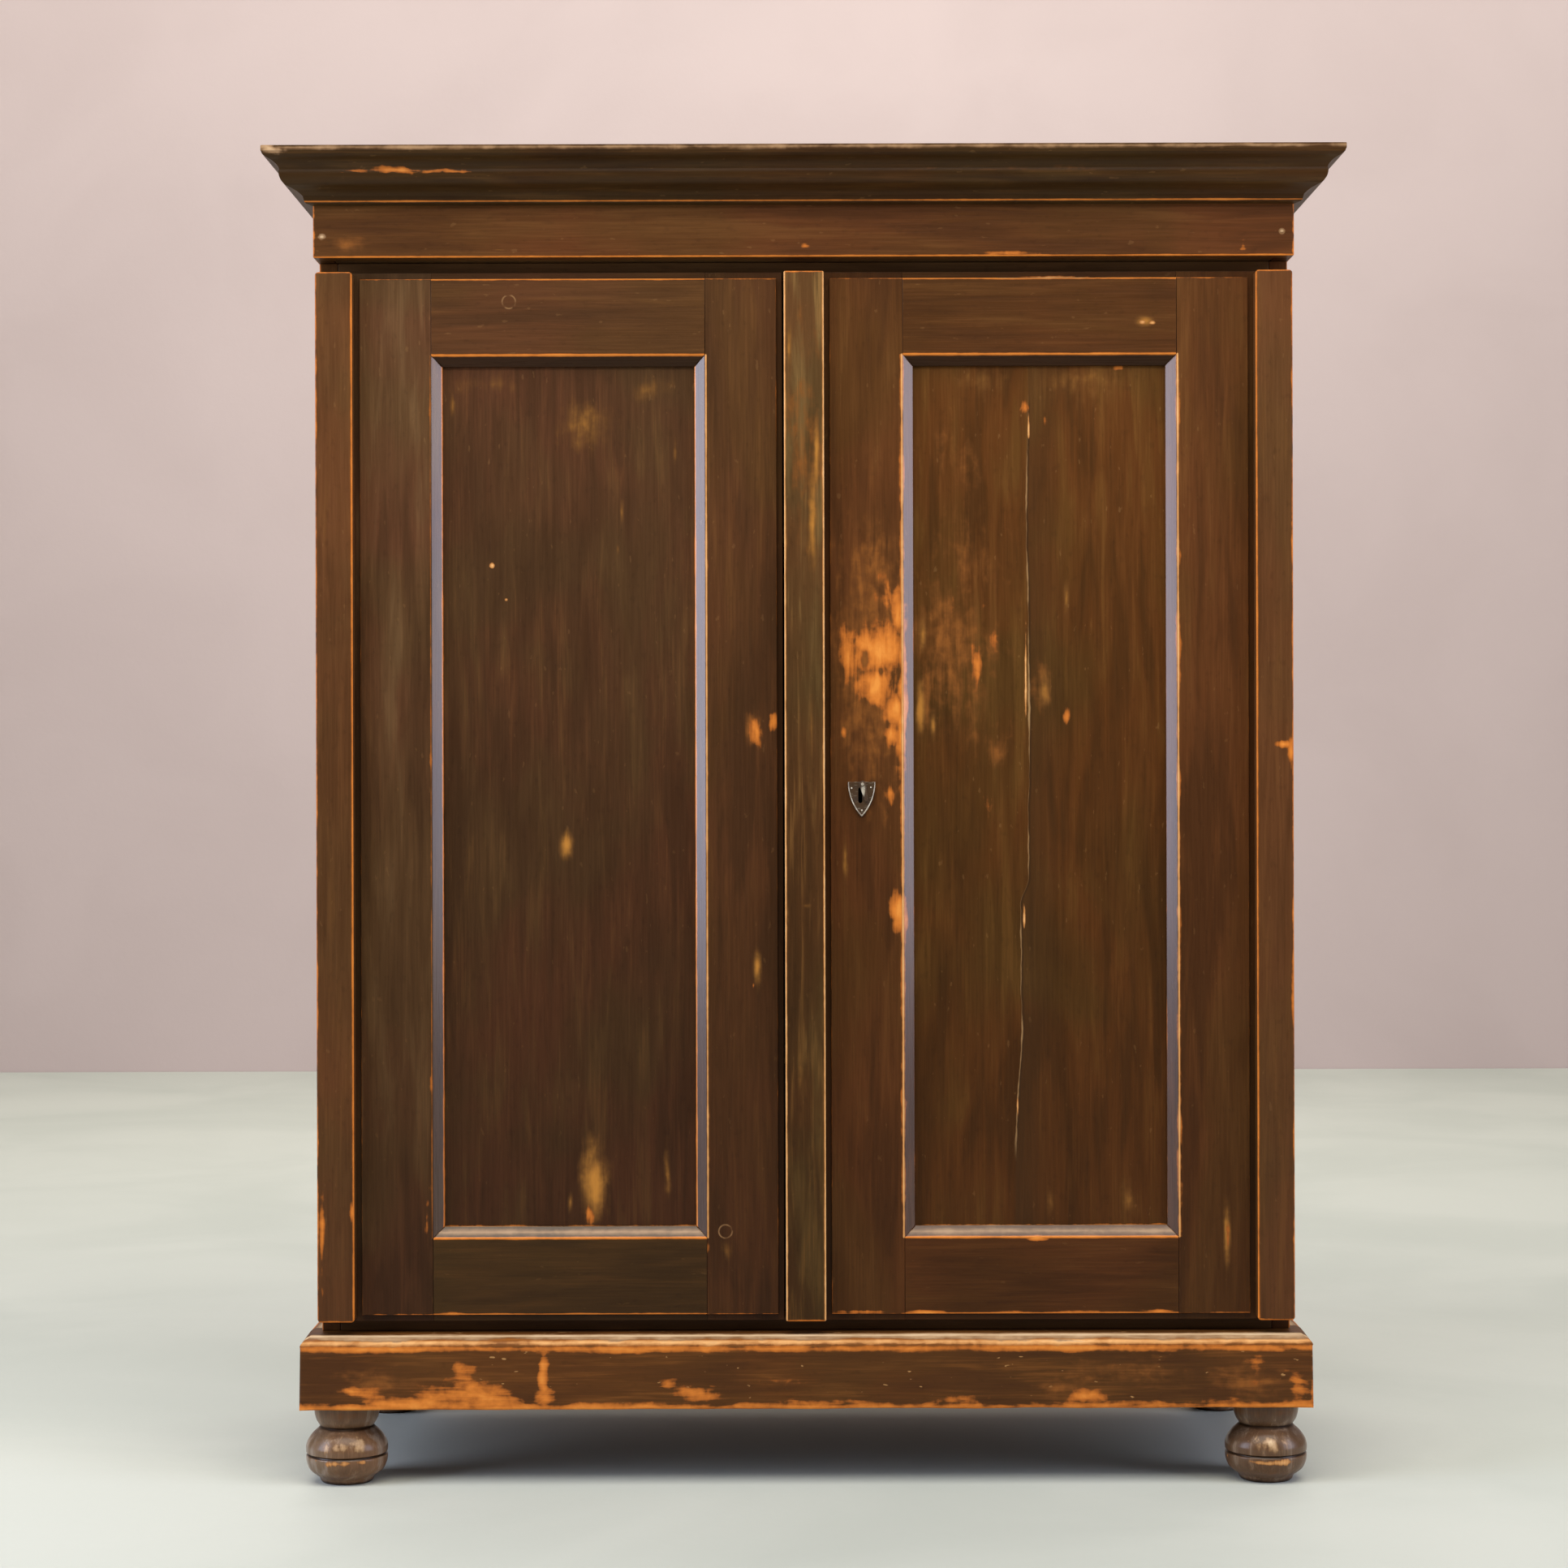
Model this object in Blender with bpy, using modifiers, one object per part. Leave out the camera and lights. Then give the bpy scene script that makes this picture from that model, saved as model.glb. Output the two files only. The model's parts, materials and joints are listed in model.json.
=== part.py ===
"""Linen cupboard: two framed doors on a plank carcass, a plinth on bun feet and a moulded cornice.

Metres, +Z up. The front faces -Y, and X runs to the right of someone who stands in front of it.
The origin is on the floor, in the middle of the cupboard's outer box.
"""

import math

import bmesh
import bpy
from mathutils import Matrix, Vector

# Fits
FIT = 0.0003  # between pieces that are glued, nailed or screwed together
RUNNING = 0.0004  # between pieces that move past each other
PIN_PLAY = 0.0001  # all round a pin or a rivet that a piece turns on
OVERRUN = 0.004  # how far a cutter runs past the faces that it cuts

# Feet
FOOT_HEIGHT = 0.092
FOOT_RADIUS = 0.0492
FOOT_INSET = 0.051  # from the plinth's outer faces to the foot's axis
SPIGOT_RADIUS = 0.012
SPIGOT_LENGTH = 0.045
FOOT_STEPS = 20
# Radius as a share of FOOT_RADIUS, height as a share of FOOT_HEIGHT, from the collar down.
FOOT_PROFILE_SHARES = (
    (0.80, 1.00),
    (0.79, 0.89),
    (0.75, 0.82),
    (0.69, 0.76),
    (0.645, 0.72),
    (0.74, 0.67),
    (0.85, 0.62),
    (0.95, 0.54),
    (0.995, 0.46),
    (0.985, 0.39),
    (0.935, 0.365),
    (0.985, 0.34),
    (1.00, 0.30),
    (0.97, 0.235),
    (0.89, 0.16),
    (0.77, 0.10),
    (0.67, 0.06),
    (0.63, 0.02),
    (0.60, 0.00),
)

# Plinth
PLINTH_HEIGHT = 0.086
PLINTH_OVERHANG = 0.020  # past the battens in front and past the carcass at the sides
PLINTH_FRONT_DEPTH = 0.081
PLINTH_SIDE_DEPTH = 0.075
PLINTH_BACK_DEPTH = 0.030
PLINTH_ROUNDING = 0.012
ROUNDING_STEPS = 4

# Carcass
CARCASS_WIDTH = 1.170
CARCASS_DEPTH = 0.470
CARCASS_HEIGHT = 1.290
SIDE_THICKNESS = 0.022
BOARD_THICKNESS = 0.022
BACK_THICKNESS = 0.012
BACK_REBATE = 0.011
BACK_LAP = 0.010
BACK_PLANKS = 3
SHELF_THICKNESS = 0.020
SHELF_SETBACK = 0.032
SHELF_HOUSING = 0.007
SHELF_NAMES = ("shelf_lower", "shelf_middle", "shelf_upper")
SMOOTH_ANGLE = math.radians(40)

# Doors
DOOR_GAP = 0.001  # between the backs of the doors and the front edges of the carcass
DOOR_REVEAL = 0.015  # open height above and below the doors
DOOR_THICKNESS = 0.024
MEETING_GAP = 0.002
OPENING_INNER = 0.1186  # from the centre line to the panel opening's near edge
HINGE_STILE_WIDTH = 0.137  # from the carcass's outer face to the opening's far edge
RAIL_FACE = 0.092
LIP_WIDTH = 0.008
LIP_STEP = 0.005
CHANNEL_WIDTH = 0.007  # sunk strip that shows beside a batten
MOULDING_WIDTH = 0.013
MOULDING_DROP = 0.009
PANEL_SETBACK = 0.012
PANEL_THICKNESS = 0.008
PANEL_TONGUE = 0.008
PANEL_PLAY = 0.001
TENON_LENGTH = 0.045
TENON_SHOULDER = 0.012

# Battens
BATTEN_WIDTH = 0.0444
BATTEN_PROUD = 0.015  # past the faces of the door frames
BATTEN_INSET = 0.0015  # from the door's top and bottom edges
BATTEN_ROUNDING = 0.0025
BATTEN_ROUNDING_STEPS = 2
STRIP_WIDTH = 0.048

# Frieze and cornice
FRIEZE_FACE_HEIGHT = 0.062
FRIEZE_THICKNESS = 0.022
FRIEZE_OVERHANG = 0.002  # past the carcass at the sides
SOFFIT_THICKNESS = 0.012
SOFFIT_SEAT = 0.022
CORNICE_HEIGHT = 0.0625
CORNICE_PROJECTION = 0.0534
DUST_BOARD_THICKNESS = 0.010
DUST_BOARD_DROP = 0.002  # below the top of the cornice
# Projection as a share of CORNICE_PROJECTION, height as a share of CORNICE_HEIGHT, bottom to top.
CORNICE_PROFILE_SHARES = (
    (0.00, 0.00),
    (0.14, 0.04),
    (0.165, 0.06),
    (0.195, 0.16),
    (0.28, 0.225),
    (0.375, 0.27),
    (0.53, 0.325),
    (0.565, 0.35),
    (0.61, 0.40),
    (0.645, 0.47),
    (0.66, 0.54),
    (0.645, 0.60),
    (0.665, 0.65),
    (0.72, 0.705),
    (0.80, 0.755),
    (0.91, 0.80),
    (0.98, 0.845),
    (1.00, 0.875),
    (1.00, 1.00),
    (0.00, 1.00),
)

# Hinges
HINGE_LEAF_LENGTH = 0.070
HINGE_LEAF_WIDTH = 0.019
HINGE_LEAF_THICKNESS = 0.002
HINGE_LEAF_GAP = 0.0004
HINGE_OUTSET = 0.0006  # from the carcass's outer face to the pin's axis
HINGE_FROM_DOOR_END = 0.170
KNUCKLE_RADIUS = 0.0035
KNUCKLE_STEPS = 16
KNUCKLES = 3
PIN_RADIUS = 0.0015
PIN_HEAD_HEIGHT = 0.002

# Escutcheon and keyhole cover
ESCUTCHEON_TOP_ON_DOOR = 0.647  # above the door's bottom edge
ESCUTCHEON_FROM_OPENING = 0.0504  # from the panel opening to the shield's middle
ESCUTCHEON_HALF_WIDTH = 0.0165
ESCUTCHEON_HEIGHT = 0.042
ESCUTCHEON_THICKNESS = 0.0012
ESCUTCHEON_RIM_WIDTH = 0.0022
ESCUTCHEON_RIM_HEIGHT = 0.001
ESCUTCHEON_ARC_STEPS = 8
ESCUTCHEON_PIN_RADIUS = 0.0012
ESCUTCHEON_PIN_HEIGHT = 0.0006
# Across as a share of ESCUTCHEON_HALF_WIDTH, down from the top as a share of ESCUTCHEON_HEIGHT.
ESCUTCHEON_PIN_SHARES = ((-0.73, 0.18), (0.67, 0.16), (0.01, 0.815))
KEYHOLE_OFFSET = 0.0016  # to the left of the shield's middle
KEYHOLE_WIDTH = 0.005
KEYHOLE_HEIGHT = 0.0185
KEYHOLE_BELOW_TOP = 0.007
KEYHOLE_CLEARANCE = 0.0004
KEYHOLE_ARC_STEPS = 6
COVER_PIVOT_OFFSET = 0.001  # to the right of the shield's middle
COVER_PIVOT_BELOW_TOP = 0.0027
COVER_LENGTH = 0.0255
COVER_TOP_RADIUS = 0.004
COVER_TIP_RADIUS = 0.002
COVER_THICKNESS = 0.0012
COVER_ARC_STEPS = 7
COVER_TILT = math.radians(13)
RIVET_RADIUS = 0.0011
RIVET_HEAD_RADIUS = 0.0027
RIVET_HEAD_HEIGHT = 0.0009
RIVET_STEPS = 12

# Lock on the back of the right door
LOCK_WIDTH = 0.112
LOCK_HEIGHT = 0.080
LOCK_DEPTH = 0.017
LOCK_WALL = 0.0015
LOCK_FROM_EDGE = 0.004  # from the door's meeting edge
LOCK_BOLT_WIDTH = 0.014
LOCK_BOLT_THICKNESS = 0.007
LOCK_BOLT_LENGTH = 0.076
LOCK_BOLT_TRAVEL = 0.016
KEEPER_LENGTH = 0.034
KEEPER_PAST_BOLT = 0.004  # beyond the tip of the bolt when it is shot
KEEPER_WALL = 0.003
KEEPER_FROM_EDGE = 0.003

# Bolts on the back of the left door
BOLT_FROM_EDGE = 0.026
BOLT_PLATE_WIDTH = 0.024
BOLT_PLATE_LENGTH = 0.110
BOLT_PLATE_THICKNESS = 0.004
BOLT_BAR_WIDTH = 0.009
BOLT_BAR_THICKNESS = 0.006
BOLT_BAR_LENGTH = 0.140
BOLT_TRAVEL = 0.015
BOLT_END_GAP = 0.003  # from the bar's tip to the board that it enters
BOLT_PLATE_FROM_TIP = 0.024
BOLT_SOCKET_PLAY = 0.0008
BOLT_SOCKET_END_PLAY = 0.002
GUIDE_LENGTH = 0.014
GUIDE_WALL = 0.0025
GUIDE_INSET = 0.006
KNOB_RADIUS = 0.0045
KNOB_LENGTH = 0.010
KNOB_STEPS = 12

# Levels
PLINTH_BOTTOM = FOOT_HEIGHT + FIT
PLINTH_TOP = PLINTH_BOTTOM + PLINTH_HEIGHT
CARCASS_BOTTOM = PLINTH_TOP + FIT
CARCASS_TOP = CARCASS_BOTTOM + CARCASS_HEIGHT
DOOR_BOTTOM = PLINTH_TOP + DOOR_REVEAL
DOOR_TOP = CARCASS_TOP - DOOR_REVEAL
OPENING_BOTTOM = DOOR_BOTTOM + LIP_WIDTH + RAIL_FACE
OPENING_TOP = DOOR_TOP - LIP_WIDTH - RAIL_FACE
FRIEZE_BOTTOM = CARCASS_TOP + FIT
CORNICE_BOTTOM = FRIEZE_BOTTOM + FRIEZE_FACE_HEIGHT
CORNICE_TOP = CORNICE_BOTTOM + CORNICE_HEIGHT
DUST_BOARD_TOP = CORNICE_TOP - DUST_BOARD_DROP
FRIEZE_TOP = DUST_BOARD_TOP - DUST_BOARD_THICKNESS - FIT
FLOOR_TOP = CARCASS_BOTTOM + BOARD_THICKNESS
CEILING = CARCASS_TOP - BOARD_THICKNESS

# Depths, front to back
TOTAL_DEPTH = CORNICE_PROJECTION + FIT + BATTEN_PROUD + DOOR_THICKNESS + DOOR_GAP + CARCASS_DEPTH
CORNICE_BACK = CORNICE_PROJECTION - TOTAL_DEPTH / 2
FRIEZE_FACE = CORNICE_BACK + FIT
BATTEN_FACE = FRIEZE_FACE
PLINTH_FACE = BATTEN_FACE - PLINTH_OVERHANG
DOOR_FACE = BATTEN_FACE + BATTEN_PROUD
LIP_FACE = DOOR_FACE + LIP_STEP
PANEL_FACE = DOOR_FACE + PANEL_SETBACK
DOOR_BACK = DOOR_FACE + DOOR_THICKNESS
HINGE_PLANE = DOOR_BACK + DOOR_GAP / 2
CARCASS_FRONT = DOOR_BACK + DOOR_GAP
CARCASS_BACK = CARCASS_FRONT + CARCASS_DEPTH
BACK_INNER_FACE = CARCASS_BACK - BACK_THICKNESS

# Widths, from the centre line
CARCASS_EDGE = CARCASS_WIDTH / 2
CARCASS_INNER = CARCASS_EDGE - SIDE_THICKNESS
OPENING_OUTER = CARCASS_EDGE - HINGE_STILE_WIDTH
PLINTH_EDGE = CARCASS_EDGE + PLINTH_OVERHANG
FRIEZE_EDGE = CARCASS_EDGE + FRIEZE_OVERHANG
HINGE_AXIS = CARCASS_EDGE + HINGE_OUTSET
STRIP_EDGE = STRIP_WIDTH / 2

# Door furniture, where the pieces share their places
ESCUTCHEON_X = OPENING_INNER - ESCUTCHEON_FROM_OPENING
KEYHOLE_X = ESCUTCHEON_X - KEYHOLE_OFFSET
COVER_PIVOT_X = ESCUTCHEON_X + COVER_PIVOT_OFFSET
ESCUTCHEON_TOP = DOOR_BOTTOM + ESCUTCHEON_TOP_ON_DOOR
KEYHOLE_Z = ESCUTCHEON_TOP - KEYHOLE_BELOW_TOP - KEYHOLE_HEIGHT / 2
ESCUTCHEON_BACK = DOOR_FACE - FIT
ESCUTCHEON_PLATE_FACE = ESCUTCHEON_BACK - ESCUTCHEON_THICKNESS
ESCUTCHEON_RIM_FACE = ESCUTCHEON_PLATE_FACE - ESCUTCHEON_RIM_HEIGHT
COVER_PIVOT_Z = ESCUTCHEON_TOP - COVER_PIVOT_BELOW_TOP
COVER_BACK = ESCUTCHEON_RIM_FACE - RUNNING
COVER_FACE = COVER_BACK - COVER_THICKNESS
LOCK_LEFT = -STRIP_EDGE + LOCK_FROM_EDGE
LOCK_RIGHT = LOCK_LEFT + LOCK_WIDTH
LOCK_FRONT = DOOR_BACK + FIT
LOCK_BACK = LOCK_FRONT + LOCK_DEPTH
LOCK_BOLT_Z = KEYHOLE_Z - KEYHOLE_HEIGHT / 2
LOCK_BOLT_TIP = LOCK_LEFT + FIT
LOCK_BOLT_BACK = LOCK_BACK - LOCK_WALL - RUNNING
LOCK_BOLT_FRONT = LOCK_BOLT_BACK - LOCK_BOLT_THICKNESS
LEFT_MEETING_EDGE = -STRIP_EDGE - MEETING_GAP
BOLT_X = LEFT_MEETING_EDGE - BOLT_FROM_EDGE
BOLT_PLATE_FRONT = DOOR_BACK + FIT
BOLT_BAR_FRONT = BOLT_PLATE_FRONT + BOLT_PLATE_THICKNESS + RUNNING
BOLT_BAR_BACK = BOLT_BAR_FRONT + BOLT_BAR_THICKNESS

# Colours as seen on the object (sRGB), roughness, metallic
FINISHES = {
    "frame": ((88, 55, 30), 0.42, 0.0),
    "panel": ((82, 54, 32), 0.45, 0.0),
    "batten": ((98, 66, 42), 0.38, 0.0),
    "plinth": ((112, 70, 40), 0.50, 0.0),
    "foot": ((96, 68, 46), 0.45, 0.0),
    "cornice": ((62, 42, 26), 0.42, 0.0),
    "inside": ((150, 112, 74), 0.65, 0.0),
    "iron": ((58, 54, 50), 0.48, 0.9),
    "brass": ((120, 104, 70), 0.42, 0.9),
}

PLANES = {
    "XZ": Matrix(((1, 0, 0), (0, 0, -1), (0, 1, 0))),
    "YZ": Matrix(((0, 0, 1), (1, 0, 0), (0, 1, 0))),
    "XY": Matrix.Identity(3),
}


# Building blocks


def clear_scene():
    """Remove every object that the file opened with."""
    for obj in list(bpy.data.objects):
        bpy.data.objects.remove(obj, do_unlink=True)


def new_collection(name):
    """Make a collection in the scene."""
    collection = bpy.data.collections.new(name)
    bpy.context.scene.collection.children.link(collection)
    return collection


def linear(value):
    """Turn one sRGB channel, 0 to 255, into a linear one."""
    value = value / 255
    return value / 12.92 if value <= 0.04045 else ((value + 0.055) / 1.055) ** 2.4


def give_finish(piece, finish):
    """Give a piece a material of its own."""
    colour, roughness, metallic = FINISHES[finish]
    material = bpy.data.materials.new(piece.name)
    material.use_nodes = True
    shader = material.node_tree.nodes["Principled BSDF"]
    shader.inputs["Base Color"].default_value = (*(linear(channel) for channel in colour), 1)
    shader.inputs["Roughness"].default_value = roughness
    shader.inputs["Metallic"].default_value = metallic
    piece.data.materials.clear()
    piece.data.materials.append(material)


def shade_round(mesh):
    """Shade a mesh smooth where its faces meet at a small angle."""
    mesh.shade_smooth()
    mesh.set_sharp_from_angle(angle=SMOOTH_ANGLE)


def add_object(name, mesh, location):
    """Put a mesh in the scene as a part, with its origin at the location."""
    piece = bpy.data.objects.new(name, mesh)
    piece.location = location
    parts.objects.link(piece)
    return piece


def as_cutter(piece):
    """Keep a shape as a tool that only cuts or joins others."""
    parts.objects.unlink(piece)
    cutters.objects.link(piece)
    piece.hide_render = True
    piece.display_type = "WIRE"
    return piece


def block(name, corner, opposite):
    """A cuboid between two opposite corners."""
    corner, opposite = Vector(corner), Vector(opposite)
    size = [abs(far - near) for near, far in zip(corner, opposite)]
    mesh = bpy.data.meshes.new(name)
    shape = bmesh.new()
    bmesh.ops.create_cube(shape, size=1)
    bmesh.ops.scale(shape, vec=size, verts=shape.verts)
    shape.to_mesh(mesh)
    shape.free()
    return add_object(name, mesh, (corner + opposite) / 2)


def rod(name, centre, radius, length, axis, steps):
    """A round bar along one axis, about its centre."""
    mesh = bpy.data.meshes.new(name)
    shape = bmesh.new()
    bmesh.ops.create_cone(
        shape, cap_ends=True, segments=steps, radius1=radius, radius2=radius, depth=length
    )
    turn = Vector((0, 0, 1)).rotation_difference(Vector(axis)).to_matrix()
    bmesh.ops.rotate(shape, matrix=turn, verts=shape.verts)
    shape.to_mesh(mesh)
    shape.free()
    shade_round(mesh)
    return add_object(name, mesh, centre)


def slab(name, outline, plane, start, end):
    """A flat outline in one plane, drawn in the cupboard's coordinates, extruded from start to end."""
    middle = [(min(values) + max(values)) / 2 for values in zip(*outline)]
    curve = bpy.data.curves.new(name, "CURVE")
    curve.dimensions = "2D"
    curve.fill_mode = "BOTH"
    curve.extrude = abs(end - start) / 2
    spline = curve.splines.new("POLY")
    spline.points.add(len(outline) - 1)
    for point, place in zip(spline.points, outline):
        point.co = (place[0] - middle[0], place[1] - middle[1], 0, 1)
    spline.use_cyclic_u = True
    drawn = bpy.data.objects.new(name + "_outline", curve)
    cutters.objects.link(drawn)
    bpy.context.view_layer.update()
    evaluated = drawn.evaluated_get(bpy.context.evaluated_depsgraph_get())
    mesh = bpy.data.meshes.new_from_object(evaluated)
    mesh.name = name
    bpy.data.objects.remove(drawn, do_unlink=True)
    shape = bmesh.new()
    shape.from_mesh(mesh)
    bmesh.ops.remove_doubles(shape, verts=shape.verts, dist=FIT / 10)
    bmesh.ops.rotate(shape, matrix=PLANES[plane], verts=shape.verts)
    bmesh.ops.recalc_face_normals(shape, faces=shape.faces)
    shape.to_mesh(mesh)
    shape.free()
    shade_round(mesh)
    depth = (start + end) / 2
    location = {
        "XZ": (middle[0], depth, middle[1]),
        "YZ": (depth, middle[0], middle[1]),
        "XY": (middle[0], middle[1], depth),
    }[plane]
    return add_object(name, mesh, location)


def turned(name, profile, location, steps):
    """A turned piece: a profile of radius and height, given from the top down."""
    mesh = bpy.data.meshes.new(name)
    shape = bmesh.new()
    corners = [shape.verts.new((radius, 0, height)) for radius, height in profile]
    for upper, lower in zip(corners, corners[1:]):
        shape.edges.new((upper, lower))
    shape.to_mesh(mesh)
    shape.free()
    piece = add_object(name, mesh, location)
    screw = piece.modifiers.new("turn", "SCREW")
    screw.steps = steps
    screw.render_steps = steps
    screw.use_merge_vertices = True
    screw.merge_threshold = FIT / 10
    screw.use_smooth_shade = True
    return piece


def shaped(piece, tool, operation):
    """Cut a piece with a tool, or join the tool to it, and keep the tool out of the parts."""
    if tool.name not in cutters.objects:
        as_cutter(tool)
    boolean = piece.modifiers.new(tool.name, "BOOLEAN")
    boolean.operation = operation
    boolean.object = tool
    return piece


def cut(piece, *tools):
    """Take each tool's shape out of a piece."""
    for tool in tools:
        shaped(piece, tool, "DIFFERENCE")
    return piece


def join(piece, *tools):
    """Make each tool's shape part of a piece."""
    for tool in tools:
        shaped(piece, tool, "UNION")
    return piece


def round_edges(piece, chosen, width, steps):
    """Round the edges whose middles the test chooses, as seen from the middle of the piece."""
    shape = bmesh.new()
    shape.from_mesh(piece.data)
    edges = [edge for edge in shape.edges if chosen((edge.verts[0].co + edge.verts[1].co) / 2)]
    bmesh.ops.bevel(shape, geom=edges, offset=width, segments=steps, profile=0.5, affect="EDGES")
    shape.to_mesh(piece.data)
    shape.free()
    shade_round(piece.data)


def moved_by(piece, empty):
    """Hang a moving piece on the empty that marks its joint, without moving it."""
    bpy.context.view_layer.update()
    piece.parent = empty
    piece.matrix_parent_inverse = empty.matrix_world.inverted()


def joint_mark(name, location):
    """An empty on a joint's axis."""
    empty = bpy.data.objects.new(name, None)
    empty.location = location
    parts.objects.link(empty)
    return empty


# Plinth and feet


def foot_places():
    """Each foot's name and the place of its axis."""
    across = PLINTH_EDGE - FOOT_INSET
    front = PLINTH_FACE + FOOT_INSET
    back = CARCASS_BACK - FOOT_INSET
    return {
        "foot_front_left": (-across, front),
        "foot_front_right": (across, front),
        "foot_back_left": (-across, back),
        "foot_back_right": (across, back),
    }


def make_feet():
    """Four turned bun feet, each with a spigot that goes up into the plinth."""
    profile = [(0, FOOT_HEIGHT + SPIGOT_LENGTH), (SPIGOT_RADIUS, FOOT_HEIGHT + SPIGOT_LENGTH)]
    profile.append((SPIGOT_RADIUS, FOOT_HEIGHT))
    profile += [(radius * FOOT_RADIUS, height * FOOT_HEIGHT) for radius, height in FOOT_PROFILE_SHARES]
    profile.append((0, 0))
    for name, (across, along) in foot_places().items():
        give_finish(turned(name, profile, (across, along, 0), FOOT_STEPS), "foot")


def spigot_hole(name):
    """The hole in the plinth for one foot's spigot."""
    across, along = foot_places()[name]
    reach = SPIGOT_LENGTH + FIT
    centre = (across, along, PLINTH_BOTTOM - OVERRUN + (reach + OVERRUN) / 2)
    return rod(name + "_hole", centre, SPIGOT_RADIUS + FIT, reach + OVERRUN, (0, 0, 1), FOOT_STEPS)


def make_plinth():
    """Four heavy rails: the front one runs the full width, and the sides butt against its back."""
    front_back = PLINTH_FACE + PLINTH_FRONT_DEPTH
    front = block(
        "plinth_front",
        (-PLINTH_EDGE, PLINTH_FACE, PLINTH_BOTTOM),
        (PLINTH_EDGE, front_back, PLINTH_TOP),
    )
    round_edges(
        front,
        lambda middle: middle.z > 0 and (middle.y < 0 or middle.x != 0) and middle.y <= 0,
        PLINTH_ROUNDING,
        ROUNDING_STEPS,
    )
    cut(front, spigot_hole("foot_front_left"), spigot_hole("foot_front_right"))
    give_finish(front, "plinth")
    for name, side in (("left", -1), ("right", 1)):
        rail = block(
            "plinth_" + name,
            (side * PLINTH_EDGE, front_back + FIT, PLINTH_BOTTOM),
            (side * (PLINTH_EDGE - PLINTH_SIDE_DEPTH), CARCASS_BACK, PLINTH_TOP),
        )
        round_edges(
            rail,
            lambda middle: middle.z > 0 and middle.x * side > 0 and middle.y == 0,
            PLINTH_ROUNDING,
            ROUNDING_STEPS,
        )
        cut(rail, spigot_hole("foot_back_" + name))
        give_finish(rail, "plinth")
    reach = PLINTH_EDGE - PLINTH_SIDE_DEPTH - FIT
    back = block(
        "plinth_back",
        (-reach, CARCASS_BACK - PLINTH_BACK_DEPTH, PLINTH_BOTTOM),
        (reach, CARCASS_BACK, PLINTH_TOP),
    )
    give_finish(back, "inside")


# Carcass


def shelf_levels():
    """The underside of each shelf, evenly spaced between the floor and the ceiling."""
    count = len(SHELF_NAMES)
    clear = (CEILING - FLOOR_TOP - count * SHELF_THICKNESS) / (count + 1)
    return [FLOOR_TOP + clear + place * (clear + SHELF_THICKNESS) for place in range(count)]


def hinge_levels():
    """The middle of each hinge on a door."""
    return {"lower": DOOR_BOTTOM + HINGE_FROM_DOOR_END, "upper": DOOR_TOP - HINGE_FROM_DOOR_END}


def make_sides():
    """Two side boards with housings for the shelves, a rebate for the back and beds for the hinges."""
    housing_end = BACK_INNER_FACE + OVERRUN
    for name, side in (("left", -1), ("right", 1)):
        board = block(
            "side_" + name,
            (side * CARCASS_EDGE, CARCASS_FRONT, CARCASS_BOTTOM),
            (side * CARCASS_INNER, CARCASS_BACK, CARCASS_TOP),
        )
        rebate = block(
            "rebate_" + name,
            (side * (CARCASS_INNER - OVERRUN), BACK_INNER_FACE - FIT, CARCASS_BOTTOM - OVERRUN),
            (side * (CARCASS_INNER + BACK_REBATE), CARCASS_BACK + OVERRUN, CARCASS_TOP + OVERRUN),
        )
        cut(board, rebate)
        for shelf, level in zip(SHELF_NAMES, shelf_levels()):
            housing = block(
                f"{shelf}_housing_{name}",
                (side * (CARCASS_INNER - OVERRUN), CARCASS_FRONT + SHELF_SETBACK - FIT, level - FIT),
                (side * (CARCASS_INNER + SHELF_HOUSING), housing_end, level + SHELF_THICKNESS + FIT),
            )
            cut(board, housing)
        for place, level in hinge_levels().items():
            cut(board, *hinge_bed(f"side_{name}_{place}", side, level, 1))
        give_finish(board, "frame")


def make_boards():
    """The floor, the ceiling and the shelves."""
    reach = CARCASS_INNER - FIT
    back = BACK_INNER_FACE - FIT
    floor = block("bottom_board", (-reach, CARCASS_FRONT, CARCASS_BOTTOM), (reach, back, FLOOR_TOP))
    ceiling = block("top_board", (-reach, CARCASS_FRONT, CEILING), (reach, back, CARCASS_TOP))
    cut(floor, bolt_socket("floor_socket", FLOOR_TOP, -1))
    cut(ceiling, bolt_socket("ceiling_socket", CEILING, 1))
    give_finish(floor, "frame")
    give_finish(ceiling, "frame")
    reach = CARCASS_INNER + SHELF_HOUSING - FIT
    for name, level in zip(SHELF_NAMES, shelf_levels()):
        shelf = block(
            name,
            (-reach, CARCASS_FRONT + SHELF_SETBACK, level),
            (reach, back, level + SHELF_THICKNESS),
        )
        give_finish(shelf, "inside")


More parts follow.
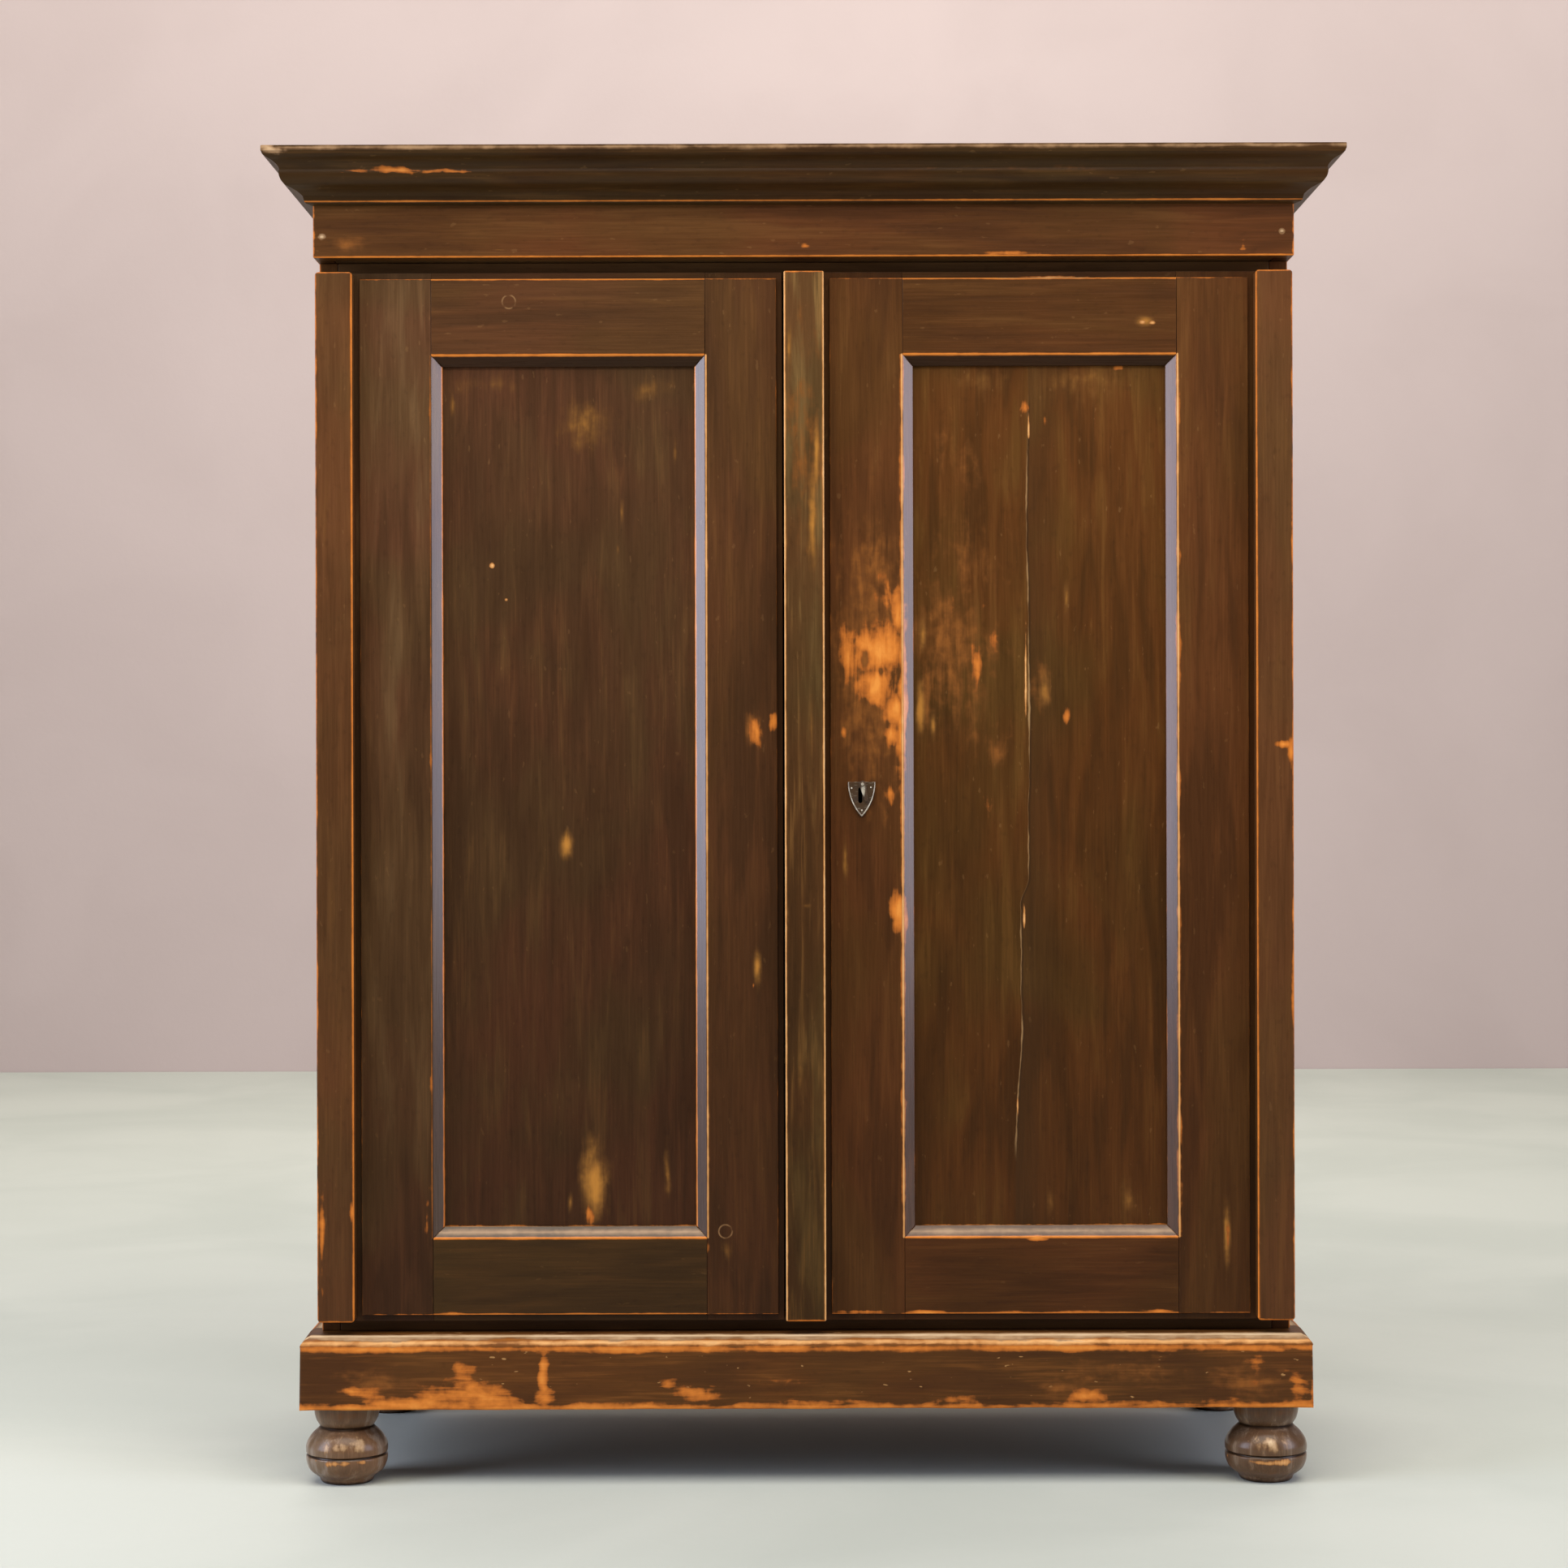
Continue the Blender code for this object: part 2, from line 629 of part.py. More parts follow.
def make_back():
    """Upright planks, rebated so that each laps over the next, in the rebates of the sides."""
    start = FIT - CARCASS_INNER - BACK_REBATE
    width = -2 * start / BACK_PLANKS
    middle = (BACK_INNER_FACE + CARCASS_BACK) / 2
    for number in range(BACK_PLANKS):
        left = start + number * width
        right = left + width
        first, last = number == 0, number == BACK_PLANKS - 1
        plank = block(
            f"back_plank_{number + 1}",
            (left if first else left + FIT, BACK_INNER_FACE, CARCASS_BOTTOM),
            (right if last else right + BACK_LAP, CARCASS_BACK, CARCASS_TOP),
        )
        if not last:
            lap = block(
                f"{plank.name}_front_lap",
                (right, BACK_INNER_FACE - OVERRUN, CARCASS_BOTTOM - OVERRUN),
                (right + BACK_LAP + OVERRUN, middle + FIT / 2, CARCASS_TOP + OVERRUN),
            )
            cut(plank, lap)
        if not first:
            lap = block(
                f"{plank.name}_back_lap",
                (left - OVERRUN, middle - FIT / 2, CARCASS_BOTTOM - OVERRUN),
                (left + BACK_LAP + FIT, CARCASS_BACK + OVERRUN, CARCASS_TOP + OVERRUN),
            )
            cut(plank, lap)
        give_finish(plank, "inside")


# Frieze and cornice


def make_frieze():
    """A box of boards that stands on the carcass, with a soffit over the heads of the doors."""
    front = block(
        "frieze_front",
        (-FRIEZE_EDGE, FRIEZE_FACE, FRIEZE_BOTTOM),
        (FRIEZE_EDGE, FRIEZE_FACE + FRIEZE_THICKNESS, FRIEZE_TOP),
    )
    give_finish(front, "frame")
    front_back = FRIEZE_FACE + FRIEZE_THICKNESS + FIT
    for name, side in (("left", -1), ("right", 1)):
        board = block(
            "frieze_" + name,
            (side * FRIEZE_EDGE, front_back, FRIEZE_BOTTOM),
            (side * (FRIEZE_EDGE - FRIEZE_THICKNESS), CARCASS_BACK, FRIEZE_TOP),
        )
        give_finish(board, "frame")
    reach = FRIEZE_EDGE - FRIEZE_THICKNESS - FIT
    soffit = block(
        "soffit_board",
        (-reach, front_back, FRIEZE_BOTTOM),
        (reach, CARCASS_FRONT + SOFFIT_SEAT, FRIEZE_BOTTOM + SOFFIT_THICKNESS),
    )
    give_finish(soffit, "inside")
    reach = FRIEZE_EDGE - FIT
    dust_board = block(
        "dust_board",
        (-reach, FRIEZE_FACE + FIT, DUST_BOARD_TOP - DUST_BOARD_THICKNESS),
        (reach, CARCASS_BACK, DUST_BOARD_TOP),
    )
    give_finish(dust_board, "inside")


def cornice_outline(start, direction):
    """The cornice's section, out from the plane at start."""
    return [
        (start + direction * share * CORNICE_PROJECTION, CORNICE_BOTTOM + height * CORNICE_HEIGHT)
        for share, height in CORNICE_PROFILE_SHARES
    ]


def mitre(piece, corner, normal):
    """Cut a piece off along an upright plane through a corner, on the side that the normal points to."""
    shape = bmesh.new()
    shape.from_mesh(piece.data)
    place = Vector((*corner, 0)) - piece.location
    bmesh.ops.bisect_plane(
        shape,
        geom=shape.verts[:] + shape.edges[:] + shape.faces[:],
        dist=FIT / 10,
        plane_co=(place.x, place.y, 0),
        plane_no=(*normal, 0),
        clear_outer=True,
    )
    rim = [edge for edge in shape.edges if edge.is_boundary]
    bmesh.ops.holes_fill(shape, edges=rim, sides=0)
    bmesh.ops.recalc_face_normals(shape, faces=shape.faces)
    shape.to_mesh(piece.data)
    shape.free()


def make_cornice():
    """Three lengths of moulding round the top of the frieze, mitred at the front corners."""
    reach = FRIEZE_EDGE + CORNICE_PROJECTION + OVERRUN
    front = slab("cornice_front", cornice_outline(CORNICE_BACK, -1), "YZ", -reach, reach)
    for side in (-1, 1):
        mitre(front, (side * (FRIEZE_EDGE + FIT), CORNICE_BACK), (side, 1))
    give_finish(front, "cornice")
    for name, side in (("left", -1), ("right", 1)):
        edge = side * (FRIEZE_EDGE + FIT)
        length = slab(
            "cornice_" + name,
            cornice_outline(edge, side),
            "XZ",
            CORNICE_BACK - CORNICE_PROJECTION - OVERRUN,
            CARCASS_BACK,
        )
        mitre(length, (edge, FRIEZE_FACE), (-side, -1))
        give_finish(length, "cornice")


# Hinges


def hinge_bed(name, side, level, toward):
    """What a hinge takes out of a side (toward 1) or of a door's stile (toward -1)."""
    half = HINGE_LEAF_LENGTH / 2
    leaf = HINGE_PLANE + toward * (HINGE_LEAF_GAP / 2 + HINGE_LEAF_THICKNESS + FIT)
    leaf_bed = block(
        name + "_leaf_bed",
        (side * (HINGE_AXIS + OVERRUN), HINGE_PLANE - toward * OVERRUN, level - half - FIT),
        (side * (HINGE_AXIS - HINGE_LEAF_WIDTH - FIT), leaf, level + half + FIT),
    )
    round_bed = KNUCKLE_RADIUS + RUNNING + FIT
    tall = half + PIN_HEAD_HEIGHT + RUNNING + FIT
    knuckle_bed = block(
        name + "_knuckle_bed",
        (side * (HINGE_AXIS + OVERRUN), HINGE_PLANE - toward * OVERRUN, level - tall),
        (side * (HINGE_AXIS - round_bed), HINGE_PLANE + toward * round_bed, level + tall),
    )
    return leaf_bed, knuckle_bed


def knuckle_spans(level):
    """The bottom and top of each knuckle of a hinge, from the bottom up."""
    pitch = HINGE_LEAF_LENGTH / KNUCKLES
    bottom = level - HINGE_LEAF_LENGTH / 2
    starts = [bottom + number * pitch for number in range(KNUCKLES)]
    return [(start + RUNNING / 2, start + pitch - RUNNING / 2) for start in starts]


def leaf_outline(side, level, owned):
    """A leaf's plate, with a tab out to the axis at each knuckle that it owns."""
    far = side * (HINGE_AXIS - HINGE_LEAF_WIDTH)
    near = side * (HINGE_AXIS - KNUCKLE_RADIUS - RUNNING)
    half = HINGE_LEAF_LENGTH / 2 - FIT
    outline = [(far, level + half), (far, level - half), (near, level - half)]
    for low, high in (knuckle_spans(level)[number] for number in owned):
        outline += [(near, low), (side * HINGE_AXIS, low), (side * HINGE_AXIS, high), (near, high)]
    outline.append((near, level + half))
    return outline


def hinge_leaf(name, side, level, toward, owned):
    """One leaf with its knuckles, bored for the pin."""
    inner = HINGE_PLANE + toward * HINGE_LEAF_GAP / 2
    outer = inner + toward * HINGE_LEAF_THICKNESS
    leaf = slab(name, leaf_outline(side, level, owned), "XZ", inner, outer)
    axis = (side * HINGE_AXIS, HINGE_PLANE)
    for number, (low, high) in enumerate(knuckle_spans(level)):
        if number in owned:
            centre = (*axis, (low + high) / 2)
            tool = f"{name}_knuckle_{number}"
            join(leaf, rod(tool, centre, KNUCKLE_RADIUS, high - low, (0, 0, 1), KNUCKLE_STEPS))
    length = HINGE_LEAF_LENGTH + 2 * OVERRUN
    bore = rod(name + "_bore", (*axis, level), PIN_RADIUS + PIN_PLAY, length, (0, 0, 1), KNUCKLE_STEPS)
    cut(leaf, bore)
    give_finish(leaf, "iron")
    return leaf


def hinge_pin(name, side, level):
    """A pin with a button head that rests on the top knuckle."""
    top = HINGE_LEAF_LENGTH / 2 + RUNNING
    bottom = -HINGE_LEAF_LENGTH / 2
    profile = (
        (0, top + PIN_HEAD_HEIGHT),
        (KNUCKLE_RADIUS, top + PIN_HEAD_HEIGHT),
        (KNUCKLE_RADIUS, top),
        (PIN_RADIUS, top),
        (PIN_RADIUS, bottom),
        (0, bottom),
    )
    pin = turned(name, profile, (side * HINGE_AXIS, HINGE_PLANE, level), KNUCKLE_STEPS)
    give_finish(pin, "iron")


def make_hinges(name, side, swing):
    """Two butt hinges on one door: the carcass leaf owns the outer knuckles, the door leaf the rest."""
    for place, level in hinge_levels().items():
        start = f"hinge_{name}_{place}_"
        hinge_leaf(start + "carcass_leaf", side, level, 1, range(0, KNUCKLES, 2))
        moved_by(hinge_leaf(start + "door_leaf", side, level, -1, range(1, KNUCKLES, 2)), swing)
        hinge_pin(start + "pin", side, level)


# Doors


def lip_cutters(name, side, meeting, meeting_lip):
    """The sunk edge round a door's face: at the top, the bottom, the hinge side and the meeting side."""
    front = DOOR_FACE - OVERRUN
    outer = side * (CARCASS_EDGE + OVERRUN)
    low = DOOR_BOTTOM - OVERRUN
    high = DOOR_TOP + OVERRUN
    hinge_lip = side * (CARCASS_EDGE - BATTEN_WIDTH - CHANNEL_WIDTH)
    beyond = meeting - side * OVERRUN
    return {
        "top": block(name + "_top_lip", (beyond, front, DOOR_TOP - LIP_WIDTH), (outer, LIP_FACE, high)),
        "bottom": block(
            name + "_bottom_lip", (beyond, front, low), (outer, LIP_FACE, DOOR_BOTTOM + LIP_WIDTH)
        ),
        "hinge": block(name + "_hinge_lip", (hinge_lip, front, low), (outer, LIP_FACE, high)),
        "meeting": block(name + "_meeting_lip", (beyond, front, low), (meeting_lip, LIP_FACE, high)),
    }


def on_face(middle):
    """Whether an edge lies round a batten's front face."""
    return middle.y < 0 and (middle.x == 0 or middle.z == 0)


def moulding_cutter(name, side):
    """A tapered block that leaves the sloping moulding round the panel."""
    middle = side * (OPENING_INNER + OPENING_OUTER) / 2
    half_width = (OPENING_OUTER - OPENING_INNER) / 2
    half_height = (OPENING_TOP - OPENING_BOTTOM) / 2
    slope = MOULDING_WIDTH / MOULDING_DROP
    front = DOOR_FACE - OVERRUN
    back = DOOR_FACE + MOULDING_DROP + OVERRUN
    cutter = block(
        name,
        (middle - half_width, front, OPENING_BOTTOM),
        (middle + half_width, back, OPENING_TOP),
    )
    for corner in cutter.data.vertices:
        depth = corner.co.y + cutter.location.y - DOOR_FACE
        corner.co.x = math.copysign(half_width - depth * slope, corner.co.x)
        corner.co.z = math.copysign(half_height - depth * slope, corner.co.z)
    return as_cutter(cutter)


def panel_block(name, side, play, fit):
    """A door's panel, or the groove that it sits in."""
    tongue = MOULDING_WIDTH - PANEL_TONGUE - play
    return block(
        name,
        (side * (OPENING_INNER + tongue), PANEL_FACE - fit, OPENING_BOTTOM + tongue),
        (side * (OPENING_OUTER - tongue), PANEL_FACE + PANEL_THICKNESS + fit, OPENING_TOP - tongue),
    )


def tenon(name, side, start, end, top, fit):
    """A tenon on a rail's end from start to end, or the mortise that takes it."""
    if top:
        low, high = OPENING_TOP + TENON_SHOULDER, DOOR_TOP - LIP_WIDTH - TENON_SHOULDER
    else:
        low, high = DOOR_BOTTOM + LIP_WIDTH + TENON_SHOULDER, OPENING_BOTTOM - TENON_SHOULDER
    return block(
        name,
        (side * start, PANEL_FACE - fit, low - fit),
        (side * end, PANEL_FACE + PANEL_THICKNESS + fit, high + fit),
    )


def stile_outline(side, edge, opening, toward):
    """A stile's front view, its moulding mitred where the rails meet it."""
    inner = opening + toward * MOULDING_WIDTH
    return [
        (edge, DOOR_BOTTOM),
        (edge, DOOR_TOP),
        (side * opening, DOOR_TOP),
        (side * opening, OPENING_TOP),
        (side * inner, OPENING_TOP - MOULDING_WIDTH),
        (side * inner, OPENING_BOTTOM + MOULDING_WIDTH),
        (side * opening, OPENING_BOTTOM),
        (side * opening, DOOR_BOTTOM),
    ]


def rail_outline(side, top):
    """A rail's front view: it runs between the stiles, with its moulding mitred at both ends."""
    near = OPENING_INNER + FIT
    far = OPENING_OUTER - FIT
    edge, opening, down = (DOOR_TOP, OPENING_TOP, -1) if top else (DOOR_BOTTOM, OPENING_BOTTOM, 1)
    return [
        (side * near, edge),
        (side * far, edge),
        (side * far, opening),
        (side * (far - MOULDING_WIDTH), opening + down * MOULDING_WIDTH),
        (side * (near + MOULDING_WIDTH), opening + down * MOULDING_WIDTH),
        (side * near, opening),
    ]


def make_door(name, side, meeting, meeting_lip, swing):
    """One door: two stiles, two rails, a panel in their grooves and a batten on the hinge stile."""
    lips = lip_cutters(name, side, meeting, meeting_lip)
    moulding = moulding_cutter(name + "_moulding", side)
    groove = as_cutter(panel_block(name + "_groove", side, PANEL_PLAY, FIT))
    stiles = {
        "hinge_stile": (side * CARCASS_EDGE, OPENING_OUTER, -1, "hinge"),
        "meeting_stile": (meeting, OPENING_INNER, 1, "meeting"),
    }
    pieces = {}
    for label, (edge, opening, toward, lip) in stiles.items():
        outline = stile_outline(side, edge, opening, toward)
        stile = slab(f"{name}_{label}", outline, "XZ", DOOR_FACE, DOOR_BACK)
        cut(stile, groove, moulding, lips[lip], lips["top"], lips["bottom"])
        for place, top in (("top", True), ("bottom", False)):
            reach = opening - toward * (TENON_LENGTH + PANEL_PLAY)
            start = opening + toward * OVERRUN
            cut(stile, tenon(f"{name}_{label}_{place}_mortise", side, start, reach, top, FIT))
        pieces[label] = stile
    for place, level in hinge_levels().items():
        cut(pieces["hinge_stile"], *hinge_bed(f"{name}_{place}", side, level, -1))
    for place, top in (("top", True), ("bottom", False)):
        rail = slab(f"{name}_{place}_rail", rail_outline(side, top), "XZ", DOOR_FACE, DOOR_BACK)
        ends = ((OPENING_INNER, -1), (OPENING_OUTER, 1))
        for end, (opening, toward) in enumerate(ends):
            start = opening - toward * OVERRUN
            reach = opening + toward * TENON_LENGTH
            join(rail, tenon(f"{name}_{place}_tenon_{end}", side, start, reach, top, 0))
        pieces[place + "_rail"] = cut(rail, groove, moulding, lips[place])
    pieces["panel"] = panel_block(name + "_panel", side, 0, 0)
    pieces["batten"] = block(
        name + "_batten",
        (side * CARCASS_EDGE, BATTEN_FACE, DOOR_BOTTOM + BATTEN_INSET),
        (side * (CARCASS_EDGE - BATTEN_WIDTH), LIP_FACE - FIT, DOOR_TOP - BATTEN_INSET),
    )
    round_edges(pieces["batten"], on_face, BATTEN_ROUNDING, BATTEN_ROUNDING_STEPS)
    for label, piece in pieces.items():
        give_finish(piece, label if label in FINISHES else "frame")
        moved_by(piece, swing)
    return pieces


def make_centre_strip(swing):
    """The batten that covers the middle: it is fixed to the right door, flush with its edge."""
    strip = block(
        "centre_strip",
        (-STRIP_EDGE, BATTEN_FACE, DOOR_BOTTOM + BATTEN_INSET),
        (STRIP_EDGE, LIP_FACE - FIT, DOOR_TOP - BATTEN_INSET),
    )
    round_edges(strip, on_face, BATTEN_ROUNDING, BATTEN_ROUNDING_STEPS)
    give_finish(strip, "batten")
    moved_by(strip, swing)


# Escutcheon and keyhole cover


def shield_side(half_width, height, steps):
    """One curved side of the shield, from its top corner to the point, as offsets from the top's middle."""
    radius = (half_width**2 + height**2) / (2 * half_width)
    sweep = math.asin(height / radius)
    points = []
    for step in range(steps + 1):
        angle = sweep * step / steps
        points.append((half_width - radius * (1 - math.cos(angle)), -radius * math.sin(angle)))
    return points


def shield_outline(half_width, height, rise):
    """A pointed shield whose top is raised by rise."""
    right = shield_side(half_width, height, ESCUTCHEON_ARC_STEPS)
    left = [(-across, down) for across, down in reversed(right[:-1])]
    outline = [(ESCUTCHEON_X + across, ESCUTCHEON_TOP + down) for across, down in right + left]
    if rise:
        outline.append((ESCUTCHEON_X - half_width, ESCUTCHEON_TOP + rise))
        outline.append((ESCUTCHEON_X + half_width, ESCUTCHEON_TOP + rise))
    return outline


def round_ended(top, bottom, top_radius, bottom_radius, steps):
    """An upright outline with round ends, about x zero, between two heights."""
    turns = [math.pi * step / steps for step in range(steps + 1)]
    upper = [(top_radius * math.cos(turn), top - top_radius + top_radius * math.sin(turn)) for turn in turns]
    lower = [
        (-bottom_radius * math.cos(turn), bottom + bottom_radius - bottom_radius * math.sin(turn))
        for turn in turns
    ]
    return upper + lower


def keyhole(name, front, back, clearance):
    """The slot for the key, from front to back."""
    radius = KEYHOLE_WIDTH / 2 + clearance
    reach = KEYHOLE_HEIGHT / 2 + clearance
    slot = round_ended(reach, -reach, radius, radius, KEYHOLE_ARC_STEPS)
    return slab(name, [(KEYHOLE_X + across, KEYHOLE_Z + up) for across, up in slot], "XZ", front, back)


def stud(name, place, radius, root, face):
    """A round bar that stands out of the shield, from its root in the plate to its face."""
    across, up = place
    return rod(name, (across, (root + face) / 2, up), radius, root - face, (0, 1, 0), RIVET_STEPS)


def make_escutcheon(swing):
    """A shield with a raised rim down both sides, three pins, a keyhole and the cover's rivet."""
    plate = slab(
        "escutcheon",
        shield_outline(ESCUTCHEON_HALF_WIDTH, ESCUTCHEON_HEIGHT, 0),
        "XZ",
        ESCUTCHEON_BACK,
        ESCUTCHEON_RIM_FACE,
    )
    field = slab(
        "escutcheon_field",
        shield_outline(
            ESCUTCHEON_HALF_WIDTH - ESCUTCHEON_RIM_WIDTH,
            ESCUTCHEON_HEIGHT - 2 * ESCUTCHEON_RIM_WIDTH,
            OVERRUN,
        ),
        "XZ",
        ESCUTCHEON_PLATE_FACE,
        ESCUTCHEON_RIM_FACE - OVERRUN,
    )
    cut(plate, field)
    cut(plate, keyhole("escutcheon_keyhole", ESCUTCHEON_BACK + OVERRUN, ESCUTCHEON_RIM_FACE - OVERRUN, 0))
    root = ESCUTCHEON_BACK - ESCUTCHEON_THICKNESS / 2
    face = ESCUTCHEON_PLATE_FACE - ESCUTCHEON_PIN_HEIGHT
    for number, (across, down) in enumerate(ESCUTCHEON_PIN_SHARES):
        place = (ESCUTCHEON_X + across * ESCUTCHEON_HALF_WIDTH, ESCUTCHEON_TOP - down * ESCUTCHEON_HEIGHT)
        join(plate, stud(f"escutcheon_pin_{number}", place, ESCUTCHEON_PIN_RADIUS, root, face))
    pivot = (COVER_PIVOT_X, COVER_PIVOT_Z)
    head_back = COVER_FACE - RUNNING
    head_face = head_back - RIVET_HEAD_HEIGHT
    join(plate, stud("rivet_shank", pivot, RIVET_RADIUS, root, head_face))
    join(plate, stud("rivet_head", pivot, RIVET_HEAD_RADIUS, head_back, head_face))
    give_finish(plate, "brass")
    moved_by(plate, swing)


def make_keyhole_cover(swing):
    """A tapered drop on the rivet: it hangs a little to the right and swings across the shield."""
    pivot = joint_mark("keyhole_cover_swing", (COVER_PIVOT_X, COVER_BACK, COVER_PIVOT_Z))
    moved_by(pivot, swing)
    bottom = COVER_TOP_RADIUS - COVER_LENGTH
    drop = round_ended(COVER_TOP_RADIUS, bottom, COVER_TOP_RADIUS, COVER_TIP_RADIUS, COVER_ARC_STEPS)
    outline = [
        (
            COVER_PIVOT_X + across * math.cos(COVER_TILT) - up * math.sin(COVER_TILT),
            COVER_PIVOT_Z + across * math.sin(COVER_TILT) + up * math.cos(COVER_TILT),
        )
        for across, up in drop
    ]
    cover = slab("keyhole_cover", outline, "XZ", COVER_BACK, COVER_FACE)
    root = COVER_BACK + OVERRUN
    face = COVER_FACE - OVERRUN
    cut(cover, stud("cover_hole", (COVER_PIVOT_X, COVER_PIVOT_Z), RIVET_RADIUS + PIN_PLAY, root, face))
    give_finish(cover, "brass")
    moved_by(cover, pivot)


# Lock and keeper


def make_lock(swing):
    """A box lock on the back of the right door: an open-fronted case and its bolt."""
    half = LOCK_HEIGHT / 2
    case = block(
        "lock_case",
        (LOCK_LEFT, LOCK_FRONT, LOCK_BOLT_Z - half),
        (LOCK_RIGHT, LOCK_BACK, LOCK_BOLT_Z + half),
    )
    hollow = block(
        "lock_hollow",
        (LOCK_LEFT + LOCK_WALL, LOCK_FRONT - OVERRUN, LOCK_BOLT_Z - half + LOCK_WALL),
        (LOCK_RIGHT - LOCK_WALL, LOCK_BACK - LOCK_WALL, LOCK_BOLT_Z + half - LOCK_WALL),
    )
    clear = LOCK_BOLT_WIDTH / 2 + RUNNING
    slot = block(
        "lock_bolt_slot",
        (LOCK_LEFT - OVERRUN, LOCK_BOLT_FRONT - RUNNING, LOCK_BOLT_Z - clear),
        (LOCK_LEFT + LOCK_WALL + OVERRUN, LOCK_BOLT_BACK + RUNNING / 2, LOCK_BOLT_Z + clear),
    )
    cut(case, hollow, slot)
    give_finish(case, "iron")
    moved_by(case, swing)
    half_bolt = LOCK_BOLT_WIDTH / 2
    bolt = block(
        "lock_bolt",
        (LOCK_BOLT_TIP, LOCK_BOLT_FRONT, LOCK_BOLT_Z - half_bolt),
        (LOCK_BOLT_TIP + LOCK_BOLT_LENGTH, LOCK_BOLT_BACK, LOCK_BOLT_Z + half_bolt),
    )
    give_finish(bolt, "iron")
    moved_by(bolt, swing)


def make_keeper(swing):
    """The loop on the back of the left door that the lock's bolt shoots into."""
    right = LEFT_MEETING_EDGE - KEEPER_FROM_EDGE
    left = LOCK_BOLT_TIP - LOCK_BOLT_TRAVEL - KEEPER_PAST_BOLT
    window = LOCK_BOLT_WIDTH / 2 + BOLT_SOCKET_PLAY
    back = LOCK_BOLT_BACK + BOLT_SOCKET_PLAY
    half = KEEPER_LENGTH / 2
    keeper = block(
        "lock_keeper",
        (left, DOOR_BACK + FIT, LOCK_BOLT_Z - half),
        (right, back + KEEPER_WALL, LOCK_BOLT_Z + half),
    )
    mouth = block(
        "keeper_mouth",
        (left - OVERRUN, LOCK_BOLT_FRONT - BOLT_SOCKET_PLAY, LOCK_BOLT_Z - window),
        (right + OVERRUN, back, LOCK_BOLT_Z + window),
    )
    cut(keeper, mouth)
    give_finish(keeper, "iron")
    moved_by(keeper, swing)


# Door bolts


def bolt_socket(name, surface, up):
    """The hole in the ceiling or the floor that a door bolt goes into."""
    half = BOLT_BAR_WIDTH / 2 + BOLT_SOCKET_PLAY
    depth = BOLT_TRAVEL - BOLT_END_GAP + BOLT_SOCKET_END_PLAY
    return block(
        name,
        (BOLT_X - half, BOLT_BAR_FRONT - BOLT_SOCKET_PLAY, surface - up * OVERRUN),
        (BOLT_X + half, BOLT_BAR_BACK + BOLT_SOCKET_PLAY, surface + up * depth),
    )


def make_door_bolt(name, surface, up, swing):
    """A bolt that slides up into the ceiling or down into the floor: a plate with two guides, and a bar."""
    tip = surface - up * BOLT_END_GAP
    near = tip - up * BOLT_PLATE_FROM_TIP
    far = near - up * BOLT_PLATE_LENGTH
    half = BOLT_PLATE_WIDTH / 2
    plate_back = BOLT_PLATE_FRONT + BOLT_PLATE_THICKNESS
    plate = block(
        name + "_plate",
        (BOLT_X - half, BOLT_PLATE_FRONT, near),
        (BOLT_X + half, plate_back, far),
    )
    clear = BOLT_BAR_WIDTH / 2 + RUNNING
    guide_back = BOLT_BAR_BACK + RUNNING + GUIDE_WALL
    for number, start in enumerate((near - up * GUIDE_INSET, far + up * (GUIDE_INSET + GUIDE_LENGTH))):
        guide = block(
            f"{name}_guide_{number}",
            (BOLT_X - clear - GUIDE_WALL, BOLT_PLATE_FRONT + BOLT_PLATE_THICKNESS / 2, start),
            (BOLT_X + clear + GUIDE_WALL, guide_back, start - up * GUIDE_LENGTH),
        )
        join(plate, guide)
    channel = block(
        name + "_channel",
        (BOLT_X - clear, plate_back, near + up * OVERRUN),
        (BOLT_X + clear, BOLT_BAR_BACK + RUNNING, far - up * OVERRUN),
    )
    cut(plate, channel)
    give_finish(plate, "iron")
    moved_by(plate, swing)
    half = BOLT_BAR_WIDTH / 2
    bar = block(
        name + "_bar",
        (BOLT_X - half, BOLT_BAR_FRONT, tip),
        (BOLT_X + half, BOLT_BAR_BACK, tip - up * BOLT_BAR_LENGTH),
    )
    root = BOLT_BAR_BACK - BOLT_BAR_THICKNESS / 2
    end = BOLT_BAR_BACK + KNOB_LENGTH
    centre = (BOLT_X, (root + end) / 2, (near + far) / 2)
    join(bar, rod(name + "_knob", centre, KNOB_RADIUS, end - root, (0, 1, 0), KNOB_STEPS))
    give_finish(bar, "iron")
    moved_by(bar, swing)


def main():
    """Build the cupboard from the floor up."""
    make_feet()
    make_plinth()
    make_sides()
    make_boards()
    make_back()
    make_frieze()
    make_cornice()
    left_swing = joint_mark("left_door_swing", (-HINGE_AXIS, HINGE_PLANE, DOOR_BOTTOM))
    right_swing = joint_mark("right_door_swing", (HINGE_AXIS, HINGE_PLANE, DOOR_BOTTOM))
    make_door("left_door", -1, LEFT_MEETING_EDGE, LEFT_MEETING_EDGE - CHANNEL_WIDTH, left_swing)
    right = make_door("right_door", 1, -STRIP_EDGE, STRIP_EDGE + CHANNEL_WIDTH, right_swing)
    through = keyhole("stile_keyhole", DOOR_FACE - OVERRUN, DOOR_BACK + OVERRUN, KEYHOLE_CLEARANCE)
    cut(right["meeting_stile"], through)
    make_centre_strip(right_swing)
    make_hinges("left", -1, left_swing)
    make_hinges("right", 1, right_swing)
    make_escutcheon(right_swing)
    make_keyhole_cover(right_swing)
    make_lock(right_swing)
    make_keeper(left_swing)
    make_door_bolt("top_bolt", CEILING, 1, left_swing)
    make_door_bolt("bottom_bolt", FLOOR_TOP, -1, left_swing)


